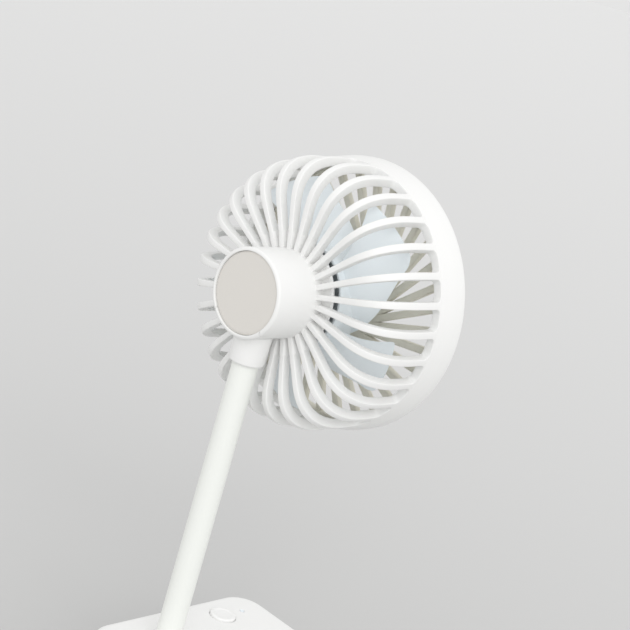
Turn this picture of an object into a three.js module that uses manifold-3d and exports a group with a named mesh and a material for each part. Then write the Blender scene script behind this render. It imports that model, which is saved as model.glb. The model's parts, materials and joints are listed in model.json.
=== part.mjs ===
// A small rechargeable clip fan on a flexible neck. Millimetres, +Z up.
// The origin is the centre of the base's underside. The fan blows towards -Y, so its rear faces +Y.
// Depths in the fan head are counted forwards from the drum's rear face, and heights from the fan's axis.

import * as THREE from 'three';
import { mergeVertices } from 'three/addons/utils/BufferGeometryUtils.js';
import Module from 'manifold-3d';

const wasm = await Module();
wasm.setup();

// ---------------------------------------------------------------- driving dimensions

const CLEAR = 0.3; // gap between pieces that seat on each other
const RUN = 0.12; // radial gap between a turning shaft and its bearing
const WELD = 1e-4; // vertices closer than this are one
const BEYOND = 99; // how far a cutter reaches, past any piece of the base

// Rear grille: the drum, its fins and the ring are one moulding
const DRUM_R = 20;
const DRUM_WALL = 1.8;
const DRUM_EDGE = 1.5; // rounding of the drum's rear edge
const DRUM_SEGMENTS = 30;
const FIN_COUNT = 30;
const FIN_START = 8.2; // direction of the first fin, in degrees from +X towards +Z
const FIN_WIDTH = 2.8;
const FIN_BACK = 23.8; // depth of the fins' rear faces at the drum
const FIN_LEAN = -0.096; // how much deeper the rear faces get per millimetre of radius
const FIN_DEPTH = 4.5; // at the drum
const FIN_RING_DEPTH = 3.1; // at the ring
const FIN_STEPS = 4; // straight stretches in the shoulder's curve
const SHOULDER_START_R = 38.8;
const SHOULDER_R = 62;
const SHOULDER_FRONT = 50; // depth at which the shoulder's curve ends
const SHOULDER_POWER = 2.53; // squareness of the shoulder, 2 for an ellipse
const SLOT_END = 57.3; // depth at which the slots between the fins end
const RING_R = 63.6;
const RING_WALL = 3.2;
const RING_FRONT = 73;
const RING_PROUD = 0.2; // how far the ring's rear end stands out past the fins
const RING_SEGMENTS = 60;
const FLANGE_R = 25;
const FLANGE_THICK = 2;
const FLANGE_SETBACK = 4.2; // from the fins' rear faces to the flange

// Front grille: straight bars that miss the centre by one distance, as in a pinwheel
const BAR_COUNT = 32;
const BAR_OFFSET = 14;
const BAR_START = 4.8; // direction of the first bar, in degrees from +X towards +Z
const BAR_WIDTH = 3.4;
const BAR_DEPTH = 3.6;
const BAR_BACK = 68.6;
const RIM_WALL = 2.4;
const RIM_BACK = 67.5;
const RIM_SEAT = 1; // width of the ledge in the ring that the rim seats on
const RIM_PROUD = 1; // how far the rim stands out in front of the ring
const RIM_EDGE = 0.8;
const HUB_PROUD = 2.5; // and the hub
const GRILLE_HUB_R = 18;
const GRILLE_HUB_WALL = 2;
const BADGE_R = 13;
const BADGE_THICK = 1.6;
const BADGE_SINK = 1; // how deep the badge sits in the hub

// Rear cap
const CAP_SINK = 0.6; // how deep the cap sits in the drum
const CAP_THICK = 1.6;

// Motor
const MOTOR_R = 12.2;
const MOTOR_WALL = 0.8;
const MOTOR_BACK = 4.2;
const END_BELL_LENGTH = 4;
const MOTOR_BOSS_R = 3;
const MOTOR_BOSS_LENGTH = 1.6;
const BUSHING_WALL = 1.2;
const BUSHING_LENGTH = 2;
const MAGNET_THICK = 1.9;
const MAGNET_ARC = 110; // degrees
const ROTOR_AIR_GAP = 0.7;
const ROTOR_END_GAP = 1.6;
const ROTOR_SLOT_WIDTH = 1.6;
const ROTOR_SLOT_DEPTH = 3.2;
const ROTOR_POLES = 3;
const SHAFT_R = 1;
const DAMPER_R = 21;
const DAMPER_THICK = 3.6;
const MOTOR_SCREW_SPREAD = 8; // from the axis
const MOTOR_SCREW_R = 1;
const MOTOR_SCREW_HEAD_R = 2;
const MOTOR_SCREW_HEAD = 1.3;
const MOTOR_SCREW_LENGTH = 2.6;

// Impeller
const BLADE_COUNT = 5;
const BLADE_TIP_R = 53;
const BLADE_THICK = 1.3;
const BLADE_REAR_ANGLE = 110; // where the first blade's rear edge meets its tip, from +X towards +Z
const BLADE_TIP_SPAN = 35; // degrees covered by a blade at its tip
const BLADE_ROOT_LAG = 17; // extra degrees covered at the root by the rear edge
const BLADE_ROOT_LEAD = 60; // and by the front edge
const BLADE_REAR_TIP = 42; // depth of the rear edge at the tip
const BLADE_REAR_ROOT = 38.7;
const BLADE_FRONT = 51.6; // depth of the front edge
const BLADE_CAMBER = 1; // how much flatter a blade starts at the root, 0 for not at all
const BLADE_RINGS = 3;
const BLADE_STEPS = 4;
const HUB_R = 24.3;
const HUB_WALL = 1.6;
const HUB_BACK = 35.2;
const HUB_SHOULDER = 52;
const HUB_FRONT = 57;
const HUB_BOSS_R = 3.5;
const HUB_BOSS_BACK = 39;
const NUT_R = 4.5;
const NUT_LENGTH = 4;
const NUT_COVER = 1; // material in front of the shaft's end

// Neck bracket: a saddle that closes a notch in the drum, and the collar below it
const NECK_DEPTH = 13.2; // depth of the neck's axis
const SADDLE_HALF_WIDTH = 14;
const SADDLE_LENGTH = 13;
const COLLAR_TOP_R = 8.5;
const COLLAR_R = 8.1;
const COLLAR_END = 32.4; // distance of the collar's lower end below the fan's axis
const COLLAR_EDGE = 1.4;
const COLLAR_BORE_TOP = 21.7;
const LEAD_HOLE_R = 3;
const LEAD_R = 0.6;
const LEAD_SPREAD = 1.2;
const TERMINAL_SPREAD = 5.5;

// Neck: short links on ball ends that bend in turn about X and about Y
const NECK_R = 6;
const NECK_BENDS = 6;
const NECK_PITCH = 19; // from one bend to the next
const NECK_CUP_GAP = 0.45; // between a link's ball end and the next link's cup
const NECK_SEGMENTS = 14;
const BALL_RINGS = 4;
const FIRST_BEND_RISE = 15; // height of the lowest bend above the base's top
const STEM_FLARE_R = 9.5;
const STEM_FLARE_HEIGHT = 4.5;
const STEM_THREAD_R = 5;
const NECK_NUT_R = 8;
const NECK_NUT_THICK = 4;

// Base: a housing that carries the neck, hinged as the upper half of a clip on the lower jaw
const NECK_Y = 26; // where the neck stands on the base
const BASE_LENGTH = 108;
const JAW_WIDTH = 56;
const JAW_CORNER = 14;
const JAW_THICK = 4.8;
const FOOT_THICK = 1.8;
const FOOT_PROUD = 1.2;
const FOOT_MARGIN = 7; // from the jaw's edge to the foot pad
const HOUSING_WIDTH = 54;
const HOUSING_WALL = 2;
const HOUSING_TOP = 42;
const HOUSING_SPLIT = 30;
const HOUSING_UNDERSIDE = 18;
const HOUSING_EDGE = 4; // chamfer along the ends of the top
const REAR_UNDERSIDE = 31; // height of the underside at the squeeze handle's end
const HANDLE_SPARE = 1.5; // from the cell to where the underside starts to rise towards the rear
const NOSE_SPARE = 2; // how far the clip's nose runs on behind its pad
const NOSE_SLOPE = 6;
const PAD_THICK = 2.3;
const PAD_WIDTH = 44;
const PAD_LENGTH = 17;
const PAD_RIDGES = 5;
const PAD_GROOVE = 1; // depth of the grooves between the ridges
const PAD_SETBACK = 9; // from the base's front end

// Clip hinge
const HINGE_Y = 12;
const HINGE_HEIGHT = 7; // of the pin's axis above the lower jaw
const PIN_R = 2;
const EAR_R = 4.6;
const EAR_THICK = 4;
const EAR_INSIDE = 20.4; // from the middle to the ears
const LUG_R = 4.6;
const LUG_THICK = 4.2;
const PIN_HEAD_R = 3.4;
const PIN_HEAD_THICK = 1.2;
const RETAINER_R = 3.6;
const RETAINER_THICK = 1;
const COIL_R = 3.7;
const COIL_WIRE_R = 0.7;
const COIL_TURNS = 7.5;
const COIL_PITCH = 2.2;
const COIL_STEPS = 8; // steps in each turn
const COIL_SIDES = 5;

// Inside the housing
const CELL_R = 9.1;
const CELL_LENGTH = 65;
const CELL_MARGIN = 1.4; // from the cell to the housing's side wall
const CELL_SETBACK = 10.5; // from the base's front end
const CONTACT_THICK = 0.6;
const CONTACT_WIDTH = 10;
const BOARD_WIDTH = 23;
const BOARD_LENGTH = 50;
const BOARD_THICK = 1.2;
const BOARD_MARGIN = 1.5; // from the board to the housing's side wall
const BOARD_SETBACK = 13; // from the base's front end
const BOARD_HEIGHT = 31;
const BOARD_POST_R = 2;
const SOCKET_PLACE = 37; // from the board's front end
const SOCKET_WIDTH = 9;
const SOCKET_HEIGHT = 3.3;
const SOCKET_DEPTH = 7.3;
const SOCKET_WALL = 0.35;
const SWITCH_SIZE = 6;
const SWITCH_HEIGHT = 3.4;
const BUTTON_PLACE = 17; // from the board's front end
const BUTTON_R = 6.5;
const BUTTON_PROUD = 1.2;
const BUTTON_FLANGE = 1.5;
const BUTTON_FLANGE_THICK = 1.3;
const BUTTON_STEM_R = 2;
const BUTTON_TRAVEL = 0.6;
const DOME_R = 2.8;
const DOME_PRESSED = 0.4; // height of the dome when it is pressed flat
const LIGHT_PLACE = 3; // from the board's front end
const LIGHT_R = 1.1;
const POST_R = 2.8;
const SCREW_R = 1;
const SCREW_HEAD_R = 2.1;
const SCREW_HEAD = 1.3;
const SCREW_REACH = 6; // of a screw past the split
const FRONT_SCREW = { fromSide: 11, fromEnd: 5.8, seat: 14.5 };
const REAR_SCREW = { fromSide: 9, fromCell: 6, seat: 25.5 };

// ---------------------------------------------------------------- worked-out places

const JAW_UNDERSIDE = FOOT_PROUD;
const JAW_TOP = JAW_UNDERSIDE + JAW_THICK;
const HINGE_Z = JAW_TOP + HINGE_HEIGHT;
const HALF_LENGTH = BASE_LENGTH / 2;
const NOSE_UNDERSIDE = JAW_TOP + 2 * PAD_THICK + 3 * CLEAR;
const LOWEST_BEND_Z = HOUSING_TOP + FIRST_BEND_RISE;
const HIGHEST_BEND_Z = LOWEST_BEND_Z + (NECK_BENDS - 1) * NECK_PITCH;
const HEAD_REACH = 66; // from the fan's axis down to the highest bend
const AXIS_Z = HIGHEST_BEND_Z + HEAD_REACH;
const HEAD_Y = NECK_Y + NECK_DEPTH;
const FLANGE_BACK = FIN_BACK + FLANGE_SETBACK;
const FLANGE_FRONT = FLANGE_BACK + FLANGE_THICK;
const DRUM_INNER_R = DRUM_R - DRUM_WALL;
const RING_INNER_R = RING_R - RING_WALL;
const RIM_R = RING_INNER_R - CLEAR;
const RIM_FRONT = RING_FRONT + RIM_PROUD;
const GRILLE_HUB_FRONT = RING_FRONT + HUB_PROUD;
const MOTOR_FRONT = FLANGE_BACK - CLEAR;
const MOTOR_INNER_R = MOTOR_R - MOTOR_WALL;
const BUSHING_R = SHAFT_R + RUN + BUSHING_WALL;
const CAN_BACK = MOTOR_BACK + END_BELL_LENGTH;
const ROTOR_R = MOTOR_INNER_R - CLEAR - MAGNET_THICK - ROTOR_AIR_GAP;
const NUT_BACK = HUB_FRONT + CLEAR;
const BOARD_TOP = BOARD_HEIGHT + BOARD_THICK;
const SWITCH_TOP = BOARD_TOP + SWITCH_HEIGHT;
const DOME_HEIGHT = DOME_PRESSED + BUTTON_TRAVEL;
const CELL_Z = HOUSING_UNDERSIDE + HOUSING_WALL + CLEAR + CELL_R;
const CELL_X = CELL_R + CELL_MARGIN + HOUSING_WALL - HOUSING_WIDTH / 2;
const CELL_FRONT = CELL_SETBACK - HALF_LENGTH;
const CELL_REAR = CELL_FRONT + CELL_LENGTH;
const BOARD_X = HOUSING_WIDTH / 2 - HOUSING_WALL - BOARD_MARGIN - BOARD_WIDTH / 2;
const BOARD_FRONT = BOARD_SETBACK - HALF_LENGTH;
const SOCKET_Y = BOARD_FRONT + SOCKET_PLACE;
const BUTTON_Y = BOARD_FRONT + BUTTON_PLACE;
const LIGHT_Y = BOARD_FRONT + LIGHT_PLACE;
const HANDLE_START = CELL_REAR + HANDLE_SPARE;
const PAD_FRONT = PAD_SETBACK - HALF_LENGTH;
const NOSE_END = PAD_FRONT + PAD_LENGTH + NOSE_SPARE;

// ---------------------------------------------------------------- materials

function plastic(color, roughness = 0.5) {
  return new THREE.MeshStandardMaterial({ color, roughness, metalness: 0 });
}

function metal(color, roughness = 0.35) {
  return new THREE.MeshStandardMaterial({ color, roughness, metalness: 1 });
}

const WHITE = plastic(0xf3f2ef, 0.4);
const CREAM = plastic(0xd6d3c2, 0.5);
const PALE_BLUE = plastic(0xcfe0e8, 0.35);
const WARM_GREY = plastic(0xd2cdc6, 0.6);
const SILICONE = plastic(0xe6eae2, 0.7);
const RUBBER = plastic(0x8e8e8c, 0.9);
const BLACK = plastic(0x1a1a1b, 0.6);
const BOARD_GREEN = plastic(0x1f5a3c, 0.5);
const LEAD_RED = plastic(0xb02020, 0.5);
const GLOW = plastic(0xe8f4ff, 0.2);
const CELL_WRAP = plastic(0x4a86b8, 0.4);
const STEEL = metal(0xb8bbbe);
const BRONZE = metal(0xb08a50);
const MAGNET = plastic(0x3a3a3c, 0.7);

// ---------------------------------------------------------------- tools for solids

// Turns a closed geometry into a solid whose faces point outwards.
function solid(geometry) {
  const bare = geometry.clone();
  bare.deleteAttribute('normal');
  bare.deleteAttribute('uv');
  const merged = mergeVertices(bare, WELD);
  const points = merged.attributes.position.array;
  const corners = [];
  let volume = 0;
  for (let i = 0; i < merged.index.count; i += 3) {
    const [a, b, c] = [0, 1, 2].map((k) => merged.index.array[i + k]);
    if (a === b || b === c || c === a) continue;
    corners.push(a, b, c);
    const [p, q, r] = [a, b, c].map((k) => new THREE.Vector3().fromArray(points, 3 * k));
    volume += p.dot(q.cross(r));
  }
  if (volume < 0) corners.reverse();
  const mesh = new wasm.Mesh({
    numProp: 3,
    vertProperties: new Float32Array(points),
    triVerts: new Uint32Array(corners),
  });
  return new wasm.Manifold(mesh);
}

// A turned solid: the profile's points are [radius, height], closed on itself or on the axis.
function turned(profile, segments = 24) {
  const points = profile.map(([radius, height]) => new THREE.Vector2(radius, height));
  if (points[0].x > 0) points.push(points[0].clone());
  return new THREE.LatheGeometry(points, segments);
}

// About the fan's axis: [radius, depth], with depth counted towards -Y.
function turnedOnFan(profile, segments) {
  return solid(turned(profile.map(([radius, depth]) => [radius, -depth]), segments));
}

// About a vertical axis: [radius, height].
function turnedUpright(profile, segments) {
  return solid(turned(profile, segments).rotateX(Math.PI / 2));
}

// A cylinder between two heights on a vertical axis.
function post(radius, low, high, x = 0, y = 0, segments = 16) {
  return turnedUpright([[0, low], [radius, low], [radius, high], [0, high]], segments).translate([x, y, 0]);
}

// A cylinder between two depths on an axis beside the fan's.
function fanPost(radius, back, front, x = 0, z = 0, segments = 16) {
  return turnedOnFan([[0, back], [radius, back], [radius, front], [0, front]], segments).translate([x, 0, z]);
}

// A cylinder along X at height z and place y.
function crossPost(radius, left, right, y, z, segments = 20) {
  const geometry = turned([[0, left], [radius, left], [radius, right], [0, right]], segments);
  return solid(geometry.rotateZ(-Math.PI / 2)).translate([0, y, z]);
}

// A box between two corners.
function block(low, high) {
  const size = high.map((value, i) => value - low[i]);
  const geometry = new THREE.BoxGeometry(...size);
  return solid(geometry).translate(low.map((value, i) => value + size[i] / 2));
}

// A flat outline of [x, y] points raised from one height to another.
function raised(outline, low, high) {
  const shape = new THREE.Shape(outline.map(([x, y]) => new THREE.Vector2(x, y)));
  return solid(new THREE.ExtrudeGeometry(shape, { depth: high - low, bevelEnabled: false }))
    .translate([0, 0, low]);
}

// A side outline of [y, z] points drawn out across X.
function drawnAcross(outline, left, right) {
  const shape = new THREE.Shape(outline.map(([y, z]) => new THREE.Vector2(y, z)));
  const geometry = new THREE.ExtrudeGeometry(shape, { depth: right - left, bevelEnabled: false });
  geometry.rotateY(Math.PI / 2).rotateX(Math.PI / 2);
  return solid(geometry).translate([left, 0, 0]);
}

// A rectangle with round corners, centred on [x, y].
function roundedRectangle(width, length, corner, x = 0, y = 0, steps = 5) {
  const points = [];
  const centres = [[1, 1], [-1, 1], [-1, -1], [1, -1]];
  centres.forEach(([sideX, sideY], quarter) => {
    for (let i = 0; i <= steps; i += 1) {
      const angle = (quarter + i / steps) * Math.PI / 2;
      points.push([
        x + sideX * (width / 2 - corner) + corner * Math.cos(angle),
        y + sideY * (length / 2 - corner) + corner * Math.sin(angle),
      ]);
    }
  });
  return points;
}

// A round tube along a line of points, closed by a fan of faces at each end.
function tube(points, radius, sides) {
  const positions = [];
  const corners = [];
  let across = null;
  points.forEach((point, i) => {
    const before = points[Math.max(i - 1, 0)];
    const after = points[Math.min(i + 1, points.length - 1)];
    const along = after.clone().sub(before).normalize();
    if (across === null) {
      across = Math.abs(along.x) < 0.9 ? new THREE.Vector3(1, 0, 0) : new THREE.Vector3(0, 1, 0);
    }
    across = across.clone().addScaledVector(along, -across.dot(along)).normalize();
    const other = along.clone().cross(across);
    for (let k = 0; k < sides; k += 1) {
      const angle = 2 * Math.PI * k / sides;
      const rim = point.clone()
        .addScaledVector(across, radius * Math.cos(angle))
        .addScaledVector(other, radius * Math.sin(angle));
      positions.push(...rim.toArray());
    }
  });
  for (let i = 0; i < points.length - 1; i += 1) {
    for (let k = 0; k < sides; k += 1) {
      const next = (k + 1) % sides;
      const [a, b] = [i * sides + k, i * sides + next];
      corners.push(a, b, b + sides, a, b + sides, a + sides);
    }
  }
  const last = (points.length - 1) * sides;
  for (let k = 1; k < sides - 1; k += 1) {
    corners.push(0, k + 1, k, last, last + k, last + k + 1);
  }
  const geometry = new THREE.BufferGeometry();
  geometry.setAttribute('position', new THREE.Float32BufferAttribute(positions, 3));
  geometry.setIndex(corners);
  return solid(geometry);
}

function joined(shapes) {
  return shapes.reduce((whole, shape) => whole.add(shape));
}

// Copies of a solid turned about the fan's axis at equal steps.
function aroundFan(shape, count, startAngle = 0) {
  return Array.from({ length: count }, (_, i) => shape.rotate([0, -(startAngle + i * 360 / count), 0]));
}

function addPiece(group, name, shape, material) {
  const mesh = shape.getMesh();
  const geometry = new THREE.BufferGeometry();
  geometry.setAttribute('position', new THREE.Float32BufferAttribute(mesh.vertProperties, 3));
  geometry.setIndex(new THREE.Uint32BufferAttribute(mesh.triVerts, 1));
  geometry.computeVertexNormals();
  const piece = new THREE.Mesh(geometry, material);
  piece.name = name;
  group.add(piece);
}

// ---------------------------------------------------------------- rear grille

const DRUM_PROFILE = [
  [DRUM_INNER_R, 0],
  [DRUM_R - DRUM_EDGE, 0],
  [DRUM_R - 0.3 * DRUM_EDGE, 0.3 * DRUM_EDGE],
  [DRUM_R, DRUM_EDGE],
  [DRUM_R, FLANGE_BACK],
];

// Half the fan's section of a fin: its outer or its inner face from the drum to the ring.
function finFace(back, radius) {
  const lean = FIN_LEAN * (radius - DRUM_R);
  const rise = SHOULDER_FRONT - back - lean;
  const face = [[DRUM_R - 1, back]];
  for (let i = 0; i <= FIN_STEPS; i += 1) {
    const angle = i / FIN_STEPS * Math.PI / 2;
    const outwards = Math.sin(angle) ** (2 / SHOULDER_POWER);
    const forwards = 1 - Math.cos(angle) ** (2 / SHOULDER_POWER);
    const r = SHOULDER_START_R + (radius - SHOULDER_START_R) * outwards;
    face.push([r, back + FIN_LEAN * (r - DRUM_R) + rise * forwards]);
  }
  face.push([radius, SLOT_END + 1]);
  return face;
}

function fin() {
  const outer = finFace(FIN_BACK, SHOULDER_R);
  const inner = finFace(FIN_BACK + FIN_DEPTH, SHOULDER_R - FIN_RING_DEPTH);
  const outline = [...outer, ...inner.reverse()].map(([radius, depth]) => new THREE.Vector2(radius, -depth));
  const settings = { depth: FIN_WIDTH, bevelEnabled: false };
  const geometry = new THREE.ExtrudeGeometry(new THREE.Shape(outline), settings);
  return solid(geometry.translate(0, 0, -FIN_WIDTH / 2));
}

function ring() {
  const rearR = SHOULDER_R + RING_PROUD;
  return turnedOnFan([
    [SHOULDER_R - FIN_RING_DEPTH, SLOT_END],
    [rearR, SLOT_END],
    [RING_R, RING_FRONT - 5],
    [RING_R, RING_FRONT - 1],
    [RING_R - 1, RING_FRONT],
    [RING_INNER_R, RING_FRONT],
    [RING_INNER_R, RIM_BACK - CLEAR],
    [RIM_R - RIM_SEAT, RIM_BACK - CLEAR],
  ], RING_SEGMENTS);
}

function notch(gap) {
  return block(
    [-SADDLE_HALF_WIDTH + gap, -SADDLE_LENGTH + gap, -2 * DRUM_R],
    [SADDLE_HALF_WIDTH - gap, 1, -DRUM_R / 2],
  );
}

function leadHole() {
  return post(LEAD_HOLE_R, -COLLAR_BORE_TOP - 1, -DRUM_R / 2, 0, -NECK_DEPTH);
}

function screwHoles(radius, back, front) {
  return joined([-1, 1].map((side) => fanPost(radius, back, front, side * MOTOR_SCREW_SPREAD, 0, 12)));
}

function rearGrille() {
  const drum = turnedOnFan([
    ...DRUM_PROFILE,
    [FLANGE_R, FLANGE_BACK],
    [FLANGE_R, FLANGE_FRONT],
    [MOTOR_BOSS_R + CLEAR, FLANGE_FRONT],
    [MOTOR_BOSS_R + CLEAR, FLANGE_BACK],
    [DRUM_INNER_R, FLANGE_BACK],
  ], DRUM_SEGMENTS);
  const fins = aroundFan(fin(), FIN_COUNT, FIN_START);
  const whole = joined([drum, ring(), ...fins]);
  return whole
    .subtract(notch(0))
    .subtract(leadHole())
    .subtract(screwHoles(MOTOR_SCREW_R + CLEAR, FLANGE_BACK - 1, FLANGE_FRONT + 1));
}

// ---------------------------------------------------------------- front grille and caps

function frontGrille() {
  const rim = turnedOnFan([
    [RIM_R - RIM_WALL, RIM_BACK],
    [RIM_R, RIM_BACK],
    [RIM_R, RIM_FRONT - RIM_EDGE],
    [RIM_R - RIM_EDGE, RIM_FRONT],
    [RIM_R - RIM_WALL, RIM_FRONT],
  ], RING_SEGMENTS);
  const hub = turnedOnFan([
    [0, GRILLE_HUB_FRONT - BADGE_SINK - GRILLE_HUB_WALL],
    [GRILLE_HUB_R - GRILLE_HUB_WALL, GRILLE_HUB_FRONT - BADGE_SINK - GRILLE_HUB_WALL],
    [GRILLE_HUB_R - GRILLE_HUB_WALL, BAR_BACK],
    [GRILLE_HUB_R, BAR_BACK],
    [GRILLE_HUB_R, GRILLE_HUB_FRONT - 1],
    [GRILLE_HUB_R - 2, GRILLE_HUB_FRONT],
    [BADGE_R + CLEAR, GRILLE_HUB_FRONT],
    [BADGE_R + CLEAR, GRILLE_HUB_FRONT - BADGE_SINK],
    [0, GRILLE_HUB_FRONT - BADGE_SINK],
  ], DRUM_SEGMENTS);
  const start = Math.sqrt((GRILLE_HUB_R - 1) ** 2 - BAR_OFFSET ** 2);
  const end = Math.sqrt((RIM_R - RIM_WALL / 2) ** 2 - BAR_OFFSET ** 2);
  const bar = block(
    [start, -BAR_BACK - BAR_DEPTH, BAR_OFFSET - BAR_WIDTH / 2],
    [end, -BAR_BACK, BAR_OFFSET + BAR_WIDTH / 2],
  );
  return joined([rim, hub, ...aroundFan(bar, BAR_COUNT, BAR_START)]);
}

function frontBadge() {
  const seat = GRILLE_HUB_FRONT - BADGE_SINK + CLEAR;
  return turnedOnFan([
    [0, seat],
    [BADGE_R, seat],
    [BADGE_R, seat + BADGE_THICK - 0.6],
    [BADGE_R - 1.5, seat + BADGE_THICK],
    [0, seat + BADGE_THICK + 0.4],
  ], DRUM_SEGMENTS);
}

function rearCap() {
  const radius = DRUM_INNER_R - CLEAR;
  return turnedOnFan([
    [0, CAP_SINK],
    [radius - 0.4, CAP_SINK],
    [radius, CAP_SINK + 0.4],
    [radius, CAP_SINK + CAP_THICK],
    [0, CAP_SINK + CAP_THICK],
  ], DRUM_SEGMENTS);
}

// ---------------------------------------------------------------- motor

function motorCan() {
  const bore = SHAFT_R + RUN + BUSHING_WALL + CLEAR;
  const can = turnedOnFan([
    [MOTOR_INNER_R, CAN_BACK],
    [MOTOR_R, CAN_BACK],
    [MOTOR_R, MOTOR_FRONT],
    [MOTOR_BOSS_R, MOTOR_FRONT],
    [MOTOR_BOSS_R, MOTOR_FRONT + MOTOR_BOSS_LENGTH],
    [bore, MOTOR_FRONT + MOTOR_BOSS_LENGTH],
    [bore, MOTOR_FRONT - MOTOR_WALL],
    [MOTOR_INNER_R, MOTOR_FRONT - MOTOR_WALL],
  ], 24);
  return can.subtract(screwHoles(MOTOR_SCREW_R + CLEAR, MOTOR_FRONT - 2, MOTOR_FRONT + 1));
}

function motorEndBell() {
  const bore = BUSHING_R + CLEAR;
  const collar = MOTOR_INNER_R - CLEAR;
  const front = CAN_BACK - CLEAR;
  return turnedOnFan([
    [bore, MOTOR_BACK],
    [MOTOR_R - 0.8, MOTOR_BACK],
    [MOTOR_R, MOTOR_BACK + 0.8],
    [MOTOR_R, front],
    [collar, front],
    [collar, front + 1.2],
    [collar - 1.5, front + 1.2],
    [collar - 1.5, front - 1.5],
    [bore, front - 1.5],
  ], 24);
}

function bushing(back) {
  return turnedOnFan([
    [SHAFT_R + RUN, back],
    [BUSHING_R, back],
    [BUSHING_R, back + BUSHING_LENGTH],
    [SHAFT_R + RUN, back + BUSHING_LENGTH],
  ], 20);
}

function magnet(middle) {
  const outer = MOTOR_INNER_R - CLEAR;
  const inner = outer - MAGNET_THICK;
  const shape = new THREE.Shape();
  const half = MAGNET_ARC / 2 * Math.PI / 180;
  const steps = 8;
  const arc = (radius) => Array.from({ length: steps + 1 }, (_, i) => {
    const angle = -half + 2 * half * i / steps;
    return new THREE.Vector2(radius * Math.cos(angle), radius * Math.sin(angle));
  });
  shape.setFromPoints([...arc(outer), ...arc(inner).reverse()]);
  const back = CAN_BACK + 2;
  const front = MOTOR_FRONT - MOTOR_WALL - 1;
  const geometry = new THREE.ExtrudeGeometry(shape, { depth: front - back, bevelEnabled: false });
  return solid(geometry.rotateX(Math.PI / 2)).translate([0, -back, 0]).rotate([0, middle, 0]);
}

function motorRotor() {
  const back = CAN_BACK + ROTOR_END_GAP + 1.2;
  const front = MOTOR_FRONT - MOTOR_WALL - ROTOR_END_GAP;
  const stack = turnedOnFan([
    [SHAFT_R + CLEAR, back],
    [ROTOR_R, back],
    [ROTOR_R, front],
    [SHAFT_R + CLEAR, front],
  ], 24);
  const slot = block(
    [ROTOR_R - ROTOR_SLOT_DEPTH, -front - 1, -ROTOR_SLOT_WIDTH / 2],
    [ROTOR_R + 1, -back + 1, ROTOR_SLOT_WIDTH / 2],
  );
  return stack.subtract(joined(aroundFan(slot, ROTOR_POLES, 30)));
}

function motorShaft() {
  return fanPost(SHAFT_R, MOTOR_BACK - 0.8, NUT_BACK + NUT_LENGTH - NUT_COVER - CLEAR);
}

function motorDamper() {
  const back = FLANGE_FRONT + CLEAR;
  const bore = MOTOR_SCREW_SPREAD + MOTOR_SCREW_HEAD_R + CLEAR;
  return turnedOnFan([
    [bore, back],
    [DAMPER_R, back],
    [DAMPER_R - 0.5, back + DAMPER_THICK],
    [bore, back + DAMPER_THICK],
  ], DRUM_SEGMENTS);
}

function motorScrew(side) {
  const seat = FLANGE_FRONT + CLEAR;
  const screw = turnedOnFan([
    [0, seat - MOTOR_SCREW_LENGTH],
    [MOTOR_SCREW_R, seat - MOTOR_SCREW_LENGTH],
    [MOTOR_SCREW_R, seat],
    [MOTOR_SCREW_HEAD_R, seat],
    [MOTOR_SCREW_HEAD_R, seat + MOTOR_SCREW_HEAD - 0.4],
    [MOTOR_SCREW_HEAD_R - 0.5, seat + MOTOR_SCREW_HEAD],
    [0, seat + MOTOR_SCREW_HEAD],
  ], 12);
  return screw.translate([side * MOTOR_SCREW_SPREAD, 0, 0]);
}

// A lead from its terminal on the motor down to the top of the neck.
function motorLead(side) {
  const route = new THREE.CatmullRomCurve3([
    new THREE.Vector3(side * TERMINAL_SPREAD, -MOTOR_BACK + LEAD_R + CLEAR, -8),
    new THREE.Vector3(side * TERMINAL_SPREAD * 0.8, -MOTOR_BACK + LEAD_R + CLEAR, -12),
    new THREE.Vector3(side * 2.5, -MOTOR_BACK - 2.5, -MOTOR_R - 2.6),
    new THREE.Vector3(side * LEAD_SPREAD, -NECK_DEPTH + 3.5, -MOTOR_R - 3),
    new THREE.Vector3(side * LEAD_SPREAD, -NECK_DEPTH, -MOTOR_R - 6),
    new THREE.Vector3(side * LEAD_SPREAD, -NECK_DEPTH, -COLLAR_BORE_TOP),
  ]);
  return tube(route.getSpacedPoints(14), LEAD_R, 6);
}

// ---------------------------------------------------------------- impeller

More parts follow.
